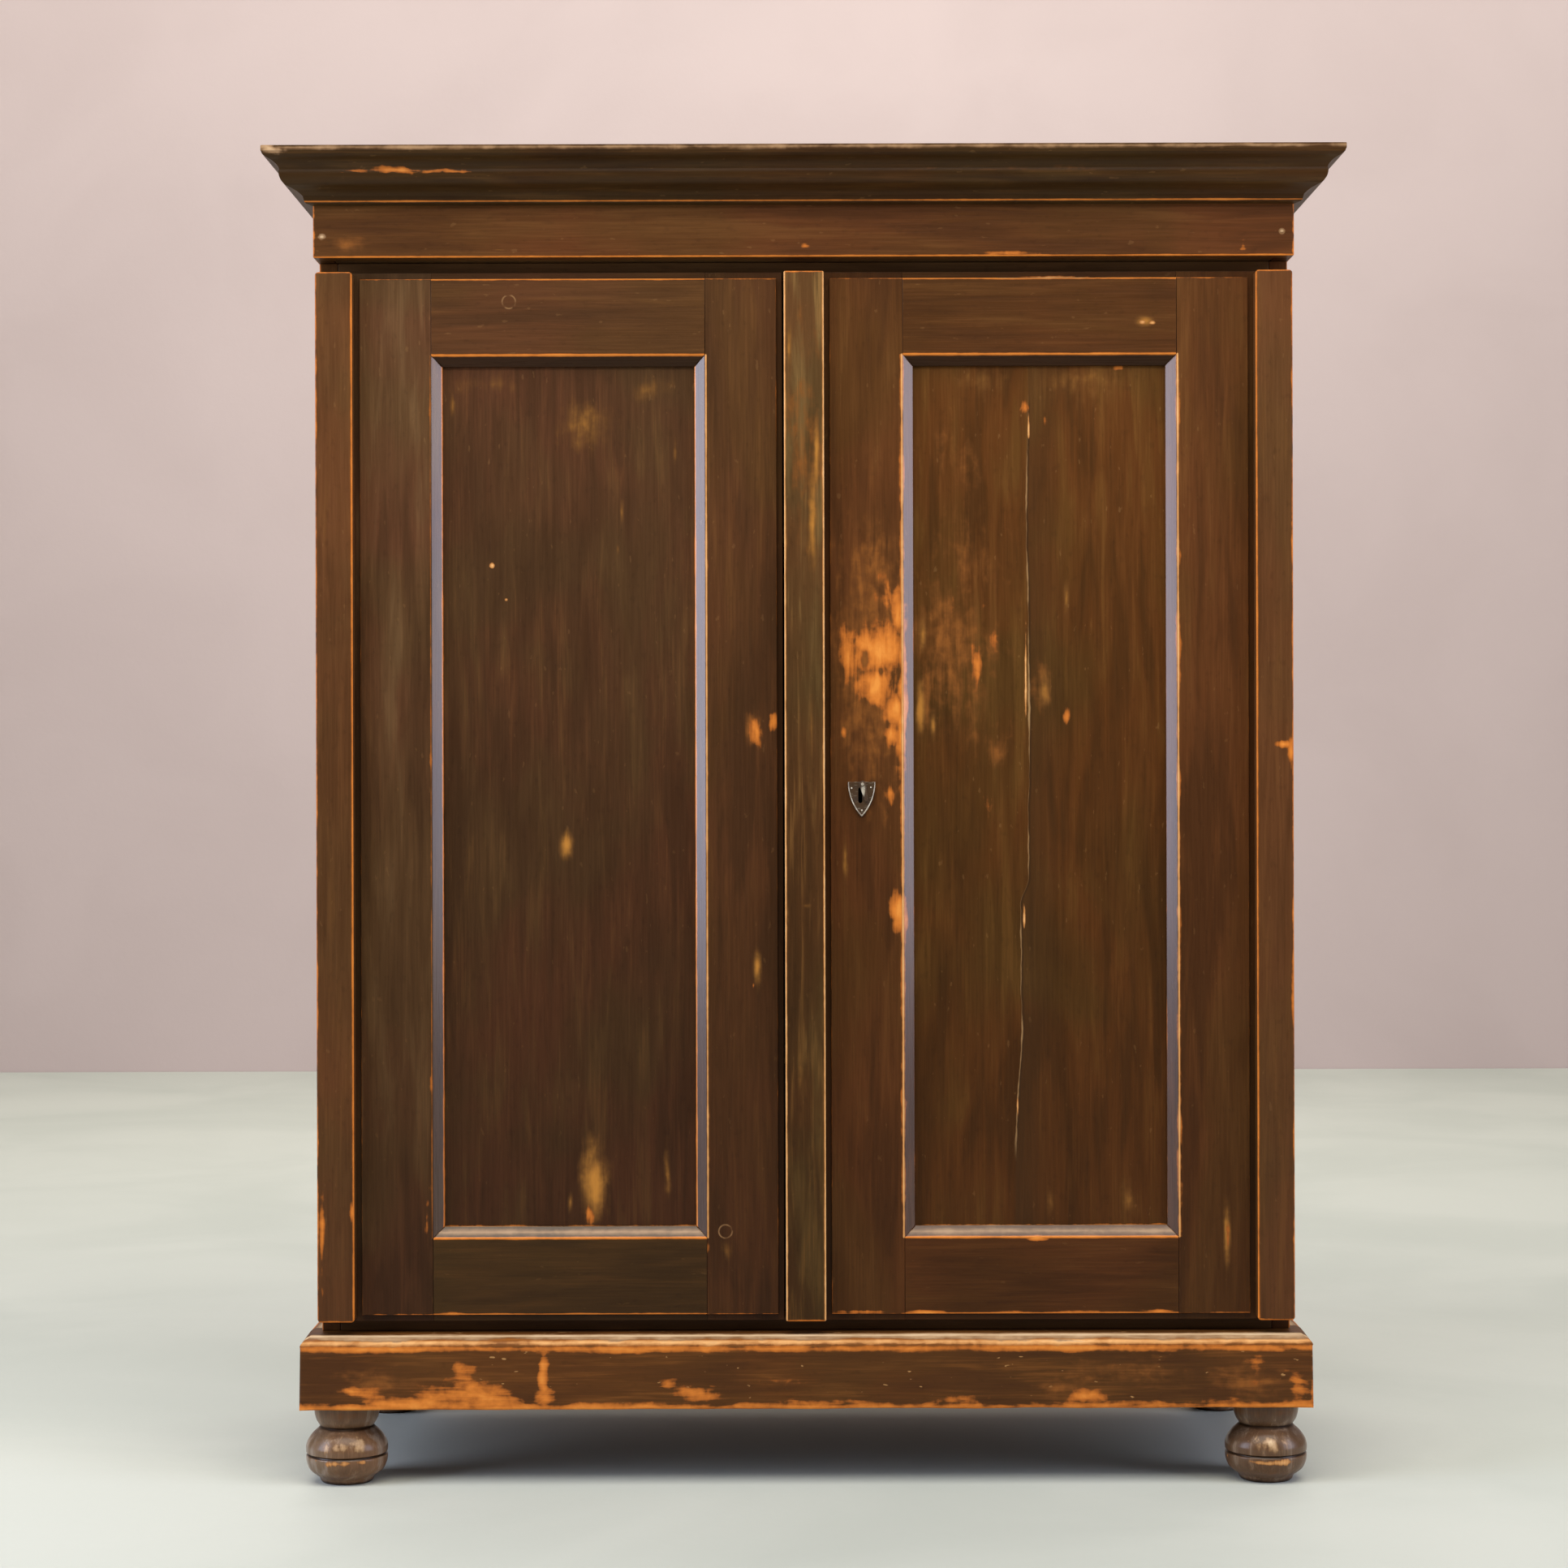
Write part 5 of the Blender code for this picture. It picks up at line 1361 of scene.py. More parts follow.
@dataclass
class Cornice:
    """Three lengths of moulding: fascia, swell, roll, hollow and fillet, mitred at the front corners."""

    steps: int = 4
    shares: tuple[tuple[float, float], ...] = (
        (0.00, 0.00), (0.13, 0.03), (0.160, 0.06), (0.190, 0.16), (0.28, 0.225), (0.375, 0.27),
        (0.53, 0.325), (0.565, 0.35), (0.61, 0.40), (0.645, 0.47), (0.655, 0.54), (0.640, 0.60),
        (0.665, 0.65), (0.72, 0.705), (0.80, 0.755), (0.91, 0.80), (0.975, 0.845), (0.985, 0.875),
        (1.00, 0.90), (1.00, 0.985), (0.985, 1.00), (0.00, 1.00),
    )
    corners: tuple[int, ...] = (0, 1, 2, 3, 6, 7, 11, 16, 17, 18, 19, 20, 21)
    fascia: tuple[float, float] = (0.160, 0.06)
    roll: tuple[float, float] = (0.655, 0.52)
    fillet: float = 0.0030

    def build(self) -> None:
        """Draw the section, run it along the front and both sides, and stain the lengths."""
        low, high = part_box("cornice_front")
        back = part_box("cornice_left")[1].y
        out, up = high.y - low.y, high.z - low.z
        edge = low.x + out
        line = smooth_line(self.shares, self.corners, self.steps)
        section = [(edge - ahead * out, high.y - ahead * out, low.z + level * up) for ahead, level in line]
        front = self.length("cornice_front_length", section, (-1, 1, 1), (0, 0, 0))
        y, z = high.y - self.roll[0] * out, low.z + self.roll[1] * up
        arris = low.z + self.fascia[1] * up
        worn = [
            ridge((0, high.y - self.fascia[0] * out, arris), Run.ACROSS, 0.0022, 0.62),
            Worn((-0.5350, y, z + 0.002), (0.035, 0.012, 0.0040), 0.34, ragged=1.4),
            Worn((-0.4800, y, z + 0.003), (0.050, 0.012, 0.0040), 0.36, ragged=1.4),
            Worn((-0.4100, y, z + 0.003), (0.040, 0.012, 0.0036), 0.32, ragged=1.4),
            Worn((0.2000, y, z + 0.003), (0.300, 0.012, 0.0060), 0.35, Look.THIN),
            ridge((0, low.y, high.z - self.fillet), Run.ACROSS, 0.0085, 0.22, Look.DUST_AND_SHEEN, 0.35),
            Worn((low.x + 0.012, low.y, high.z - 0.004), (0.034, 0.020, 0.010), 0.60, Look.DUST_AND_SHEEN),
        ]
        CORNICE.dress(front, Run.ACROSS, History(worn))
        hand_over(front, "carcass", Slot.CORNICE, "cornice_front")
        left = self.length("cornice_left_length", section, (1, 0, 1), (0, back, 0))
        hold(left)
        bpy.ops.object.duplicate()
        right = bpy.context.active_object
        with editing(right, everything=True):
            resize((-1, 1, 1), (0, 0, 0))
        settle(right, "cornice_right_length")
        self.close(right)
        for length, node, side in ((left, "cornice_left", low.x), (right, "cornice_right", high.x)):
            side_fascia = side - math.copysign(1 - self.fascia[0], side) * out
            worn = [
                ridge((side, 0, high.z - self.fillet), Run.DEPTH, 0.0085, 0.22, Look.DUST_AND_SHEEN, 0.35),
                ridge((side_fascia, 0, arris), Run.DEPTH, 0.0022, 0.62),
            ]
            CORNICE.dress(length, Run.DEPTH, History(worn))
            hand_over(length, "carcass", Slot.CORNICE, node)

    def length(self, name: str, section: Sequence[Place], scale: Place, pivot: Place) -> Piece:
        """Run the section along a length.

        Args:
            name: the length's name.
            section: its section on the left front mitre.
            scale: what brings the section to the other end.
            pivot: the point about which it does.

        Returns:
            The length.
        """
        piece = drawn(name, section)
        with editing(piece, everything=True):
            push((0, 0, 0))
            resize(scale, pivot)
        self.close(piece)
        return piece

    def close(self, length: Piece) -> None:
        """Close both ends of a length and shade it.

        Args:
            length: the length.
        """
        with editing(length):
            bpy.context.tool_settings.mesh_select_mode = (True, False, False)
            bpy.ops.mesh.select_non_manifold()
            bpy.ops.mesh.fill_holes(sides=0)
        face_outwards(length)
        even_shading(length, 24.0)


@dataclass(frozen=True)
class EdgeWear:
    """How a stile is worn where it meets the panel.

    Args:
        look: what shows on its arris.
        arris: how worn the arris is.
        width: how far that wear reaches.
        glow: how worn the face beside the arris is.
        foot: how worn the foot of its slope is.
    """

    look: Look
    arris: float
    width: float
    glow: float
    foot: float


@dataclass
class Door:
    """A framed door: two stiles and two rails round a sunk panel, with a batten on the hinge stile."""

    name: str
    side: int
    meeting: float
    edges: dict[str, EdgeWear]
    marks: dict[str, list[Worn]]
    batten_wear: tuple[float, float]
    frame: WoodFinish
    panel: WoodFinish
    plugs: dict[str, list[Plug]] = field(default_factory=dict)
    kept: Sequence[Worn] = ()
    seam: Seam | None = None
    opening: tuple[float, float] = (0.1186, 0.4480)
    heights: tuple[float, float] = (0.2933, 1.3536)
    moulding: float = 0.013
    slope_foot: float = 0.009
    lip: float = -0.20815
    back: float = -0.18915
    arris: float = 0.0009
    joint: float = 0.00025
    lip_width: float = 0.008
    channel: float = 0.007
    outer: float = 0.5850
    batten_width: float = 0.0444

    def build(self) -> None:
        """Make and finish the door's six pieces."""
        bottom, top = (corner.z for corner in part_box(f"{self.name}_hinge_stile"))
        near, far = self.opening
        low, high = self.heights
        upper, lower = top - self.lip_width, bottom + self.lip_width
        x = {"hinge_stile": self.side * far, "meeting_stile": self.side * near}
        inwards = {"hinge_stile": -self.side, "meeting_stile": self.side}
        hinge_side = self.side * (self.outer - self.batten_width - self.channel)
        outer = {"hinge_stile": hinge_side, "meeting_stile": self.meeting}
        for label, edge in self.edges.items():
            beside = (x[label] - inwards[label] * 0.0010, FACE, 0)
            foot = (x[label] + inwards[label] * self.moulding, FACE + self.slope_foot, 0)
            worn = [
                ridge(beside, Run.UP, edge.width, edge.arris, edge.look, 0.4, (low, high)),
                ridge(beside, Run.UP, edge.width * 2.2, edge.glow, ragged=0.8, span=(low, high)),
                ridge(foot, Run.UP, 0.0034, edge.foot, span=(low, high)),
                ridge((0, FACE, upper), Run.ACROSS, 0.0026, 0.42, ragged=0.8),
                ridge((0, FACE, lower), Run.ACROSS, 0.0026, 0.42, ragged=0.8),
                ridge((outer[label], FACE, 0), Run.UP, 0.0018, 0.20),
            ]
            slope = Slope(Run.ACROSS, x[label], x[label] + inwards[label] * 0.001, 0.75)
            self.finish(label, Run.UP, worn, slope)
        worn = [
            ridge((0, FACE, high), Run.ACROSS, 0.0032, 0.80),
            ridge((0, FACE, upper), Run.ACROSS, 0.0032, 0.95, ragged=0.6),
        ]
        # The top rail's moulding faces down and is darkened with painted shade.
        self.finish("top_rail", Run.ACROSS, worn, Slope(Run.UP, high, high - 0.001, 0.0, 0.80))
        foot = low + self.moulding
        worn = [
            ridge((0, FACE, low), Run.ACROSS, 0.0032, 0.80),
            ridge((0, FACE, lower), Run.ACROSS, 0.0032, 0.80, ragged=0.6),
            # The bottom moulding faces up: a pale painted highlight along it.
            ridge((0, FACE + self.slope_foot, foot), Run.ACROSS, 0.0024, 0.30, Look.DUST_AND_SHEEN, 0.3),
            ridge((0, FACE + self.slope_foot / 2, (low + foot) / 2), Run.ACROSS, 0.0150, 0.26, Look.DUST_AND_SHEEN, 0.22),
        ]
        self.finish("bottom_rail", Run.ACROSS, worn, Slope(Run.UP, low, low + 0.001, 0.35))
        self.dress_panel()
        look, marks = Look.ORANGE, self.marks.get("batten", [])
        make_batten(f"{self.name}_batten", self.name, BATTEN, 0.0040, look, self.batten_wear, marks)

    def finish(self, label: str, run: Run, worn: list[Worn], slope: Slope) -> None:
        """Ease and stain a stile or a rail.

        Args:
            label: which one.
            run: the way that its grain runs.
            worn: where its edges are worn.
            slope: its moulding.
        """
        node = f"{self.name}_{label}"
        piece = copy_of_solid(node)
        low, high = self.heights

        def at_joint(edge: bmesh.types.BMEdge) -> bool:
            """Whether an edge lies in the joint between a stile and a rail."""
            spot = middle_of(edge)
            beside = min(abs(abs(spot.x) - line) for line in self.opening) < HAIR
            return beside and not low < spot.z < high

        def front_edge(edge: bmesh.types.BMEdge) -> bool:
            """Whether an edge lies at the front of the door."""
            return straight_edge(edge) and all(corner.co.y < SUNK - HAIR for corner in edge.verts)

        soften(piece, self.arris, 2, lambda edge: front_edge(edge) and not at_joint(edge))
        soften(piece, self.joint, 1, lambda edge: front_edge(edge) and at_joint(edge))
        even_shading(piece)
        kept = self.kept if label == "meeting_stile" else ()
        history = History(worn + self.marks.get(label, []), kept, self.plugs.get(label, ()))
        # Faces behind the lip are darkened: partly old dust, partly painted shade.
        form = Form(slope, Bare(Run.DEPTH, self.back - 0.0006, 1), self.lip - 0.0012)
        BOARD_FINISHES.get(node, self.frame).dress(piece, run, history, form)
        hand_over(piece, self.name, Slot.FRAME, node)

    def dress_panel(self) -> None:
        """Stain the panel, which keeps its solid."""
        node = f"{self.name}_panel"
        inner = self.moulding - 0.001
        worn = list(self.marks.get("panel", []))
        worn.append(ridge((0, SUNK, self.heights[0] + inner), Run.ACROSS, 0.0032, 0.55, ragged=0.8))
        for label, line in (("hinge_stile", self.opening[1] - inner), ("meeting_stile", self.opening[0] + inner)):
            foot = self.edges[label].foot
            worn.append(ridge((self.side * line, SUNK, 0), Run.UP, 0.0028, foot * 0.7, ragged=0.5))
        bare = Bare(Run.DEPTH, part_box(node)[1].y - 0.0008, 1)
        self.panel.dress(bpy.data.objects[node], Run.UP, History(worn, seam=self.seam), Form(bare=bare))
        log.info("%s: stained", node)


def make_batten(
    node: str,
    body: str,
    finish: WoodFinish,
    corner: float,
    look: Look,
    sides: tuple[float, float],
    marks: Sequence[Worn],
) -> None:
    """A planted upright with rounded corners and worn arrises.

    Args:
        node: the solid that it replaces.
        body: the body that carries it.
        finish: its finish.
        corner: the radius of its corners, seen from the front.
        look: what shows on its long arrises.
        sides: how worn its left and right arrises are.
        marks: its own worn marks.
    """
    low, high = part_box(node)
    piece = new_block(node + "_board", low, high)
    soften(piece, corner, 4, lambda edge: abs(edge.verts[0].co.y - edge.verts[1].co.y) > HAIR)
    soften(piece, 0.0016, 3, before(low.y))
    even_shading(piece)
    worn = [
        ridge((x, low.y, 0), Run.UP, 0.0024 + 0.0016 * strength, strength, look, 0.4 if strength > 0.7 else 0.9)
        for x, strength in zip((low.x, high.x), sides)
    ]
    worn += [ridge((0, low.y, z), Run.ACROSS, 0.0036, 0.70) for z in (low.z, high.z)]
    finish.dress(piece, Run.UP, History(worn + list(marks)))
    hand_over(piece, body, Slot.BATTEN, node)


@dataclass
class Escutcheon:
    """The shield round the keyhole: a plate, a bead down both sides, three pins and a swinging cover."""

    middle: float = 0.0682
    top: float = 0.8403
    half_width: float = 0.0165
    height: float = 0.0420
    back: float = -0.21345
    plate: float = -0.21465
    rim: float = -0.21565
    bead: float = 0.0012
    sink: float = 0.0001
    keyhole: tuple[float, float] = (0.0666, 0.82405)
    keyhole_size: tuple[float, float] = (0.0050, 0.0185)
    pivot: tuple[float, float] = (0.0692, 0.8376)
    cover: tuple[float, float] = (-0.21605, -0.21725)
    cover_radii: tuple[float, float] = (0.0040, 0.0020)
    cover_length: float = 0.0255
    tilt: float = math.radians(13)
    pins: tuple[tuple[float, float], ...] = ((-0.73, 0.18), (0.67, 0.16), (0.01, 0.815))
    pin: tuple[tuple[float, float], ...] = (
        (0.00105, 0.0), (0.00100, 0.00035), (0.00080, 0.0006), (0.00045, 0.00075), (0.0001, 0.0008),
    )
    rivet: tuple[tuple[float, float], ...] = (
        (0.0011, -0.0020), (0.0011, 0.0), (0.0027, 0.0), (0.0026, 0.00035), (0.0019, 0.0007), (0.0007, 0.0009),
    )
    steps: int = 14

    def side(self, inset: float) -> list[tuple[float, float]]:
        """The right side of the shield, from its top corner to its point, set in by inset.

        Args:
            inset: how far it is set in.

        Returns:
            Its points, across from the middle and up from the top.
        """
        half_width = self.half_width - inset
        height = self.height - 2 * inset
        radius = (half_width**2 + height**2) / (2 * half_width)
        sweep = math.asin(height / radius)
        turns = [sweep * step / self.steps for step in range(self.steps + 1)]
        return [(half_width - radius * (1 - math.cos(turn)), -radius * math.sin(turn)) for turn in turns]

    def flat(self, name: str, outline: Sequence[tuple[float, float]], back: float, front: float) -> Piece:
        """A flat plate with an outline seen from the front.

        Args:
            name: its name.
            outline: the outline's corners, across and up.
            back: where its back lies.
            front: where its face lies.

        Returns:
            The plate.
        """
        piece = drawn(name, [(across, back, up) for across, up in outline])
        with editing(piece, everything=True):
            bpy.ops.mesh.edge_face_add()
            push((0, front - back, 0))
        face_outwards(piece)
        return piece

    def build(self) -> None:
        """Make and finish the shield and its cover."""
        right = self.side(0)
        shield = [(self.middle + across, self.top + down) for across, down in right]
        shield += [(self.middle - across, self.top + down) for across, down in reversed(right[:-1])]
        plate = self.flat("escutcheon_plate", shield, self.back, self.plate)
        self.pierce(plate)
        soften(plate, 0.0003, 2, before(self.plate))
        even_shading(plate)
        BRASS.dress(plate)
        strip = right + list(reversed(self.side(self.bead)))
        for way, label in ((1, "right"), (-1, "left")):
            outline = [(self.middle + way * across, self.top + down) for across, down in strip]
            bead = self.flat(f"escutcheon_bead_{label}", outline, self.plate + self.sink, self.rim)
            soften(bead, 0.0006, 3, before(self.rim))
            even_shading(bead, 60.0)
            BRASS.dress(bead, [Worn((self.middle, self.rim, self.top - 0.014), (0.06, 0.02, 0.09), 0.45)])
            hand_over(bead, "right_door", Slot.BRASS)
        hand_over(plate, "right_door", Slot.BRASS, "escutcheon")
        for number, (across, down) in enumerate(self.pins, start=1):
            spot = (self.middle + across * self.half_width, self.plate + self.sink, self.top - down * self.height)
            self.knob(f"escutcheon_pin_{number}", spot, self.pin)
        self.knob("cover_rivet", (self.pivot[0], self.cover[1] - 0.0004, self.pivot[1]), self.rivet)
        self.swing_cover()

    def pierce(self, plate: Piece) -> None:
        """Cut the keyhole through the plate.

        Args:
            plate: the plate.
        """
        wide, tall = self.keyhole_size
        radius = wide / 2
        turns = [math.pi * step / 8 for step in range(9)]
        across, up = self.keyhole
        reach = tall / 2 - radius
        outline = [(across + radius * math.cos(turn), up + reach + radius * math.sin(turn)) for turn in turns]
        outline += [(across - radius * math.cos(turn), up - reach - radius * math.sin(turn)) for turn in turns]
        tool = self.flat("keyhole_tool", outline, self.back + 0.002, self.plate - 0.002)
        cutter = plate.modifiers.new("keyhole", "BOOLEAN")
        cutter.object = tool
        cutter.solver = "EXACT"
        hold(plate)
        bpy.ops.object.modifier_apply(modifier=cutter.name)
        bpy.data.objects.remove(tool, do_unlink=True)

    def knob(self, name: str, spot: Place, profile: Sequence[tuple[float, float]]) -> None:
        """A small pin or rivet head that stands out of the shield.

        Args:
            name: its name.
            spot: the middle of its foot.
            profile: the radius and height of each ring.
        """
        x, y, z = spot
        knob = turned(name, (x, y - profile[0][1], z), profile, Run.DEPTH, 20)
        even_shading(knob, 50.0)
        BRASS.dress(knob, [Worn((x, y - 0.001, z), (0.003, 0.003, 0.003), 0.9)])
        hand_over(knob, "right_door", Slot.BRASS)

    def swing_cover(self) -> None:
        """Make the tapered drop that hangs from the rivet."""
        wide, narrow = self.cover_radii
        turns = [math.pi * step / 10 for step in range(11)]
        bottom = wide - self.cover_length + narrow
        drop = [(wide * math.cos(turn), wide * math.sin(turn)) for turn in turns]
        drop += [(-narrow * math.cos(turn), bottom - narrow * math.sin(turn)) for turn in turns]
        lean, rise = math.sin(self.tilt), math.cos(self.tilt)
        x, z = self.pivot
        outline = [(x + across * rise - up * lean, z + across * lean + up * rise) for across, up in drop]
        cover = self.flat("keyhole_cover_drop", outline, *self.cover)
        soften(cover, 0.0004, 3, before(self.cover[1]))
        even_shading(cover, 50.0)
        BRASS.dress(cover, [Worn((x + 0.001, self.cover[1], z - 0.006), (0.006, 0.01, 0.016), 0.5)])
        hand_over(cover, "keyhole_cover", Slot.BRASS, "keyhole_cover")


@dataclass
class Ironwork:
    """Hinges, lock, keeper and bolts keep their solids; the screws of lock and bolts are added."""

    screw: tuple[tuple[float, float], ...] = (
        (0.0032, 0.0), (0.0031, -0.0004), (0.0024, -0.0009), (0.0012, -0.0012), (0.0002, -0.0013),
    )
    inset: float = 0.008
    beside_bolt: float = 0.0092
    plate_step: float = 0.004

    def build(self) -> None:
        """Darken the ironwork and fix it with screws."""
        starts = ("hinge_", "lock_", "top_bolt", "bottom_bolt")
        for name in [name for name in bpy.data.objects.keys() if name.startswith(starts)]:
            IRON.dress(bpy.data.objects[name])
            log.info("%s: darkened", name)
        low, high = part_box("lock_case")
        inset = self.inset
        spots = [(x, z) for x in (low.x + inset, high.x - inset) for z in (low.z + inset, high.z - inset)]
        self.screws("lock_screw", "right_door", high.y, spots)
        for node in ("top_bolt_plate", "bottom_bolt_plate"):
            low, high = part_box(node)
            middle = (low.x + high.x) / 2
            heights = [low.z + share * (high.z - low.z) for share in (0.30, 0.70)]
            spots = [(middle + way * self.beside_bolt, z) for way in (-1, 1) for z in heights]
            self.screws(node + "_screw", "left_door", low.y + self.plate_step, spots)

    def screws(self, name: str, body: str, surface: float, spots: Sequence[tuple[float, float]]) -> None:
        """Domed screw heads on the back of a door.

        Args:
            name: what they are called.
            body: the body that carries them.
            surface: the face that they stand on.
            spots: where each one is.
        """
        for number, (x, z) in enumerate(spots, start=1):
            head = turned(f"{name}_{number}", (x, surface, z), self.screw, Run.DEPTH, 16)
            even_shading(head, 50.0)
            IRON.dress(head)
            hand_over(head, body, Slot.IRON)


@dataclass
class Studio:
    """The pale floor and wall, the lights and the camera."""

    eye: Place = (-0.025, -3.978, 0.838)
    roll: float = math.radians(0.15)
    lens: float = 71.96
    film: float = 36
    sight: float = 50
    reach: float = 9
    wall: float = 5.2
    air: Colour = (238, 234, 228)
    air_light: float = 0.07
    relief: float = 0.0006

    def build(self) -> None:
        """Lay the floor, stand the wall behind, and set up the lights and the camera."""
        out, wall = self.reach, self.wall
        low, high = Vector((-out, -out, -0.05)), Vector((out, wall, 0.0))
        self.sheet("studio_floor", low, high, (191, 195, 186), (182, 187, 178), 0.62)
        low, high = Vector((-out, wall, -0.05)), Vector((out, wall + 0.1, 6))
        self.sheet("studio_wall", low, high, (190, 174, 170), (186, 170, 166), 0.8)
        self.lights()
        self.camera()

    def sheet(self, name: str, low: Vector, high: Vector, pale: Colour, shade: Colour, rough: float) -> None:
        """A broad slab of the stage with eased edges and a plain finish with a faint cloud.

        Args:
            name: its name.
            low: its lowest corner.
            high: its highest corner.
            pale: its colour.
            shade: the colour of its clouds.
            rough: its roughness.
        """
        piece = new_block(name, low, high)
        soften(piece, 0.004, 2, lambda edge: True)
        board = Board(name)
        cloud = board.noise(board.place, 1.6, 4.0, 0.6)
        grit = board.noise(board.place, 60.0, 4.0)
        colour = board.mix(board.step(cloud, 0.35, 0.7), linear(pale), linear(shade))
        surface = {"Base Color": colour, "Roughness": rough + grit * 0.1, "Specular IOR Level": 0.2}
        board.put_on(piece, surface, grit, self.relief)

    def lamp(self, name: str, spot: Place, aim: Place, size: tuple[float, float], power: float, colour: Colour) -> None:
        """A soft rectangular light.

        Args:
            name: its name.
            spot: where it hangs.
            aim: what it points at.
            size: its width and height.
            power: its strength in watts.
            colour: its colour.
        """
        lamp = added(name, bpy.ops.object.light_add, type="AREA", location=spot)
        lamp.data.shape = "RECTANGLE"
        lamp.data.size, lamp.data.size_y = size
        lamp.data.energy = power
        lamp.data.color = linear(colour)[:3]
        lamp.rotation_euler = (Vector(aim) - Vector(spot)).to_track_quat("-Z", "Y").to_euler()

    def lights(self) -> None:
        """Hang one broad light overhead, a cool one at each side and two behind, on the wall and the back."""
        self.lamp("overhead", (0.0, -1.9, 3.7), (0.0, -0.3, 0.7), (4.4, 2.2), 172, (255, 248, 236))
        self.lamp("left_window", (-3.4, -1.5, 1.6), (0.0, 0.0, 0.9), (1.8, 2.4), 125, (222, 230, 255))
        self.lamp("right_window", (3.4, -1.5, 1.6), (0.0, 0.0, 0.9), (1.8, 2.4), 88, (228, 232, 255))
        self.lamp("wall_wash", (0.0, 2.6, 5.2), (0.0, self.wall, 0.9), (8.0, 1.2), 290, (255, 251, 245))
        self.lamp("back_light", (-1.2, 4.2, 4.0), (0.0, 0.3, 1.0), (3.0, 1.2), 36, (255, 248, 240))
        world = bpy.data.worlds.new("studio_air")
        world.use_nodes = True
        background = world.node_tree.nodes["Background"]
        background.inputs["Color"].default_value = linear(self.air)
        background.inputs["Strength"].default_value = self.air_light
        bpy.context.scene.world = world
        bpy.context.scene.view_settings.view_transform = "Standard"

    def camera(self) -> None:
        """Stand the camera where the photograph was taken."""
        turn = (math.pi / 2, self.roll, 0)
        camera = added("studio_camera", bpy.ops.object.camera_add, location=self.eye, rotation=turn)
        camera.data.lens = self.lens
        camera.data.sensor_width = self.film
        camera.data.clip_end = self.sight
        bpy.context.scene.camera = camera


# Where use has worn the cupboard

PLINTH_MARKS = {
    Look.ORANGE: (
        (-0.4095, 0.1378, 0.027, 0.016, 0.75), (-0.3119, 0.14, 0.009, 0.056, 1.0), (-0.3119, 0.108, 0.02, 0.018, 0.8),
        (-0.3119, 0.164, 0.02, 0.011, 0.7), (-0.5408, 0.1162, 0.045, 0.0085, 0.45), (-0.43, 0.1, 0.15, 0.015, 0.95),
        (-0.574, 0.166, 0.036, 0.0076, 0.8), (-0.405, 0.11, 0.09, 0.03, 1.0), (-0.1236, 0.112, 0.048, 0.017, 0.75),
        (-0.1641, 0.124, 0.017, 0.0085, 0.5), (-0.03, 0.127, 0.06, 0.007, 0.35), (0.02, 0.101, 0.11, 0.011, 0.5),
        (0.1836, 0.104, 0.07, 0.01, 0.45), (0.3333, 0.108, 0.035, 0.014, 0.8), (0.47, 0.101, 0.08, 0.009, 0.45),
        (0.586, 0.125, 0.02, 0.026, 0.55), (0.564, 0.164, 0.017, 0.006, 0.8), (0.536, 0.1402, 0.015, 0.029, 0.3),
    ),
    Look.THIN: (
        (0.296, 0.116, 0.05, 0.024, 0.8), (0.53, 0.125, 0.09, 0.045, 0.7), (0.37, 0.138, 0.16, 0.032, 0.6),
        (-0.5, 0.13, 0.12, 0.03, 0.5),
    ),
}
FRIEZE_MARKS = {
    Look.ORANGE: (
        (0.0024, 1.4818, 0.015, 0.006, 0.5), (0.5277, 1.4832, 0.008, 0.012, 0.4), (0.2491, 1.4727, 0.06, 0.004, 0.3),
    ),
    Look.THIN: (
        (-0.545, 1.485, 0.033, 0.02, 0.75),
    ),
    Look.OLIVE: (
        (-0.365, 1.478, 0.03, 0.002, 0.4),
    ),
}
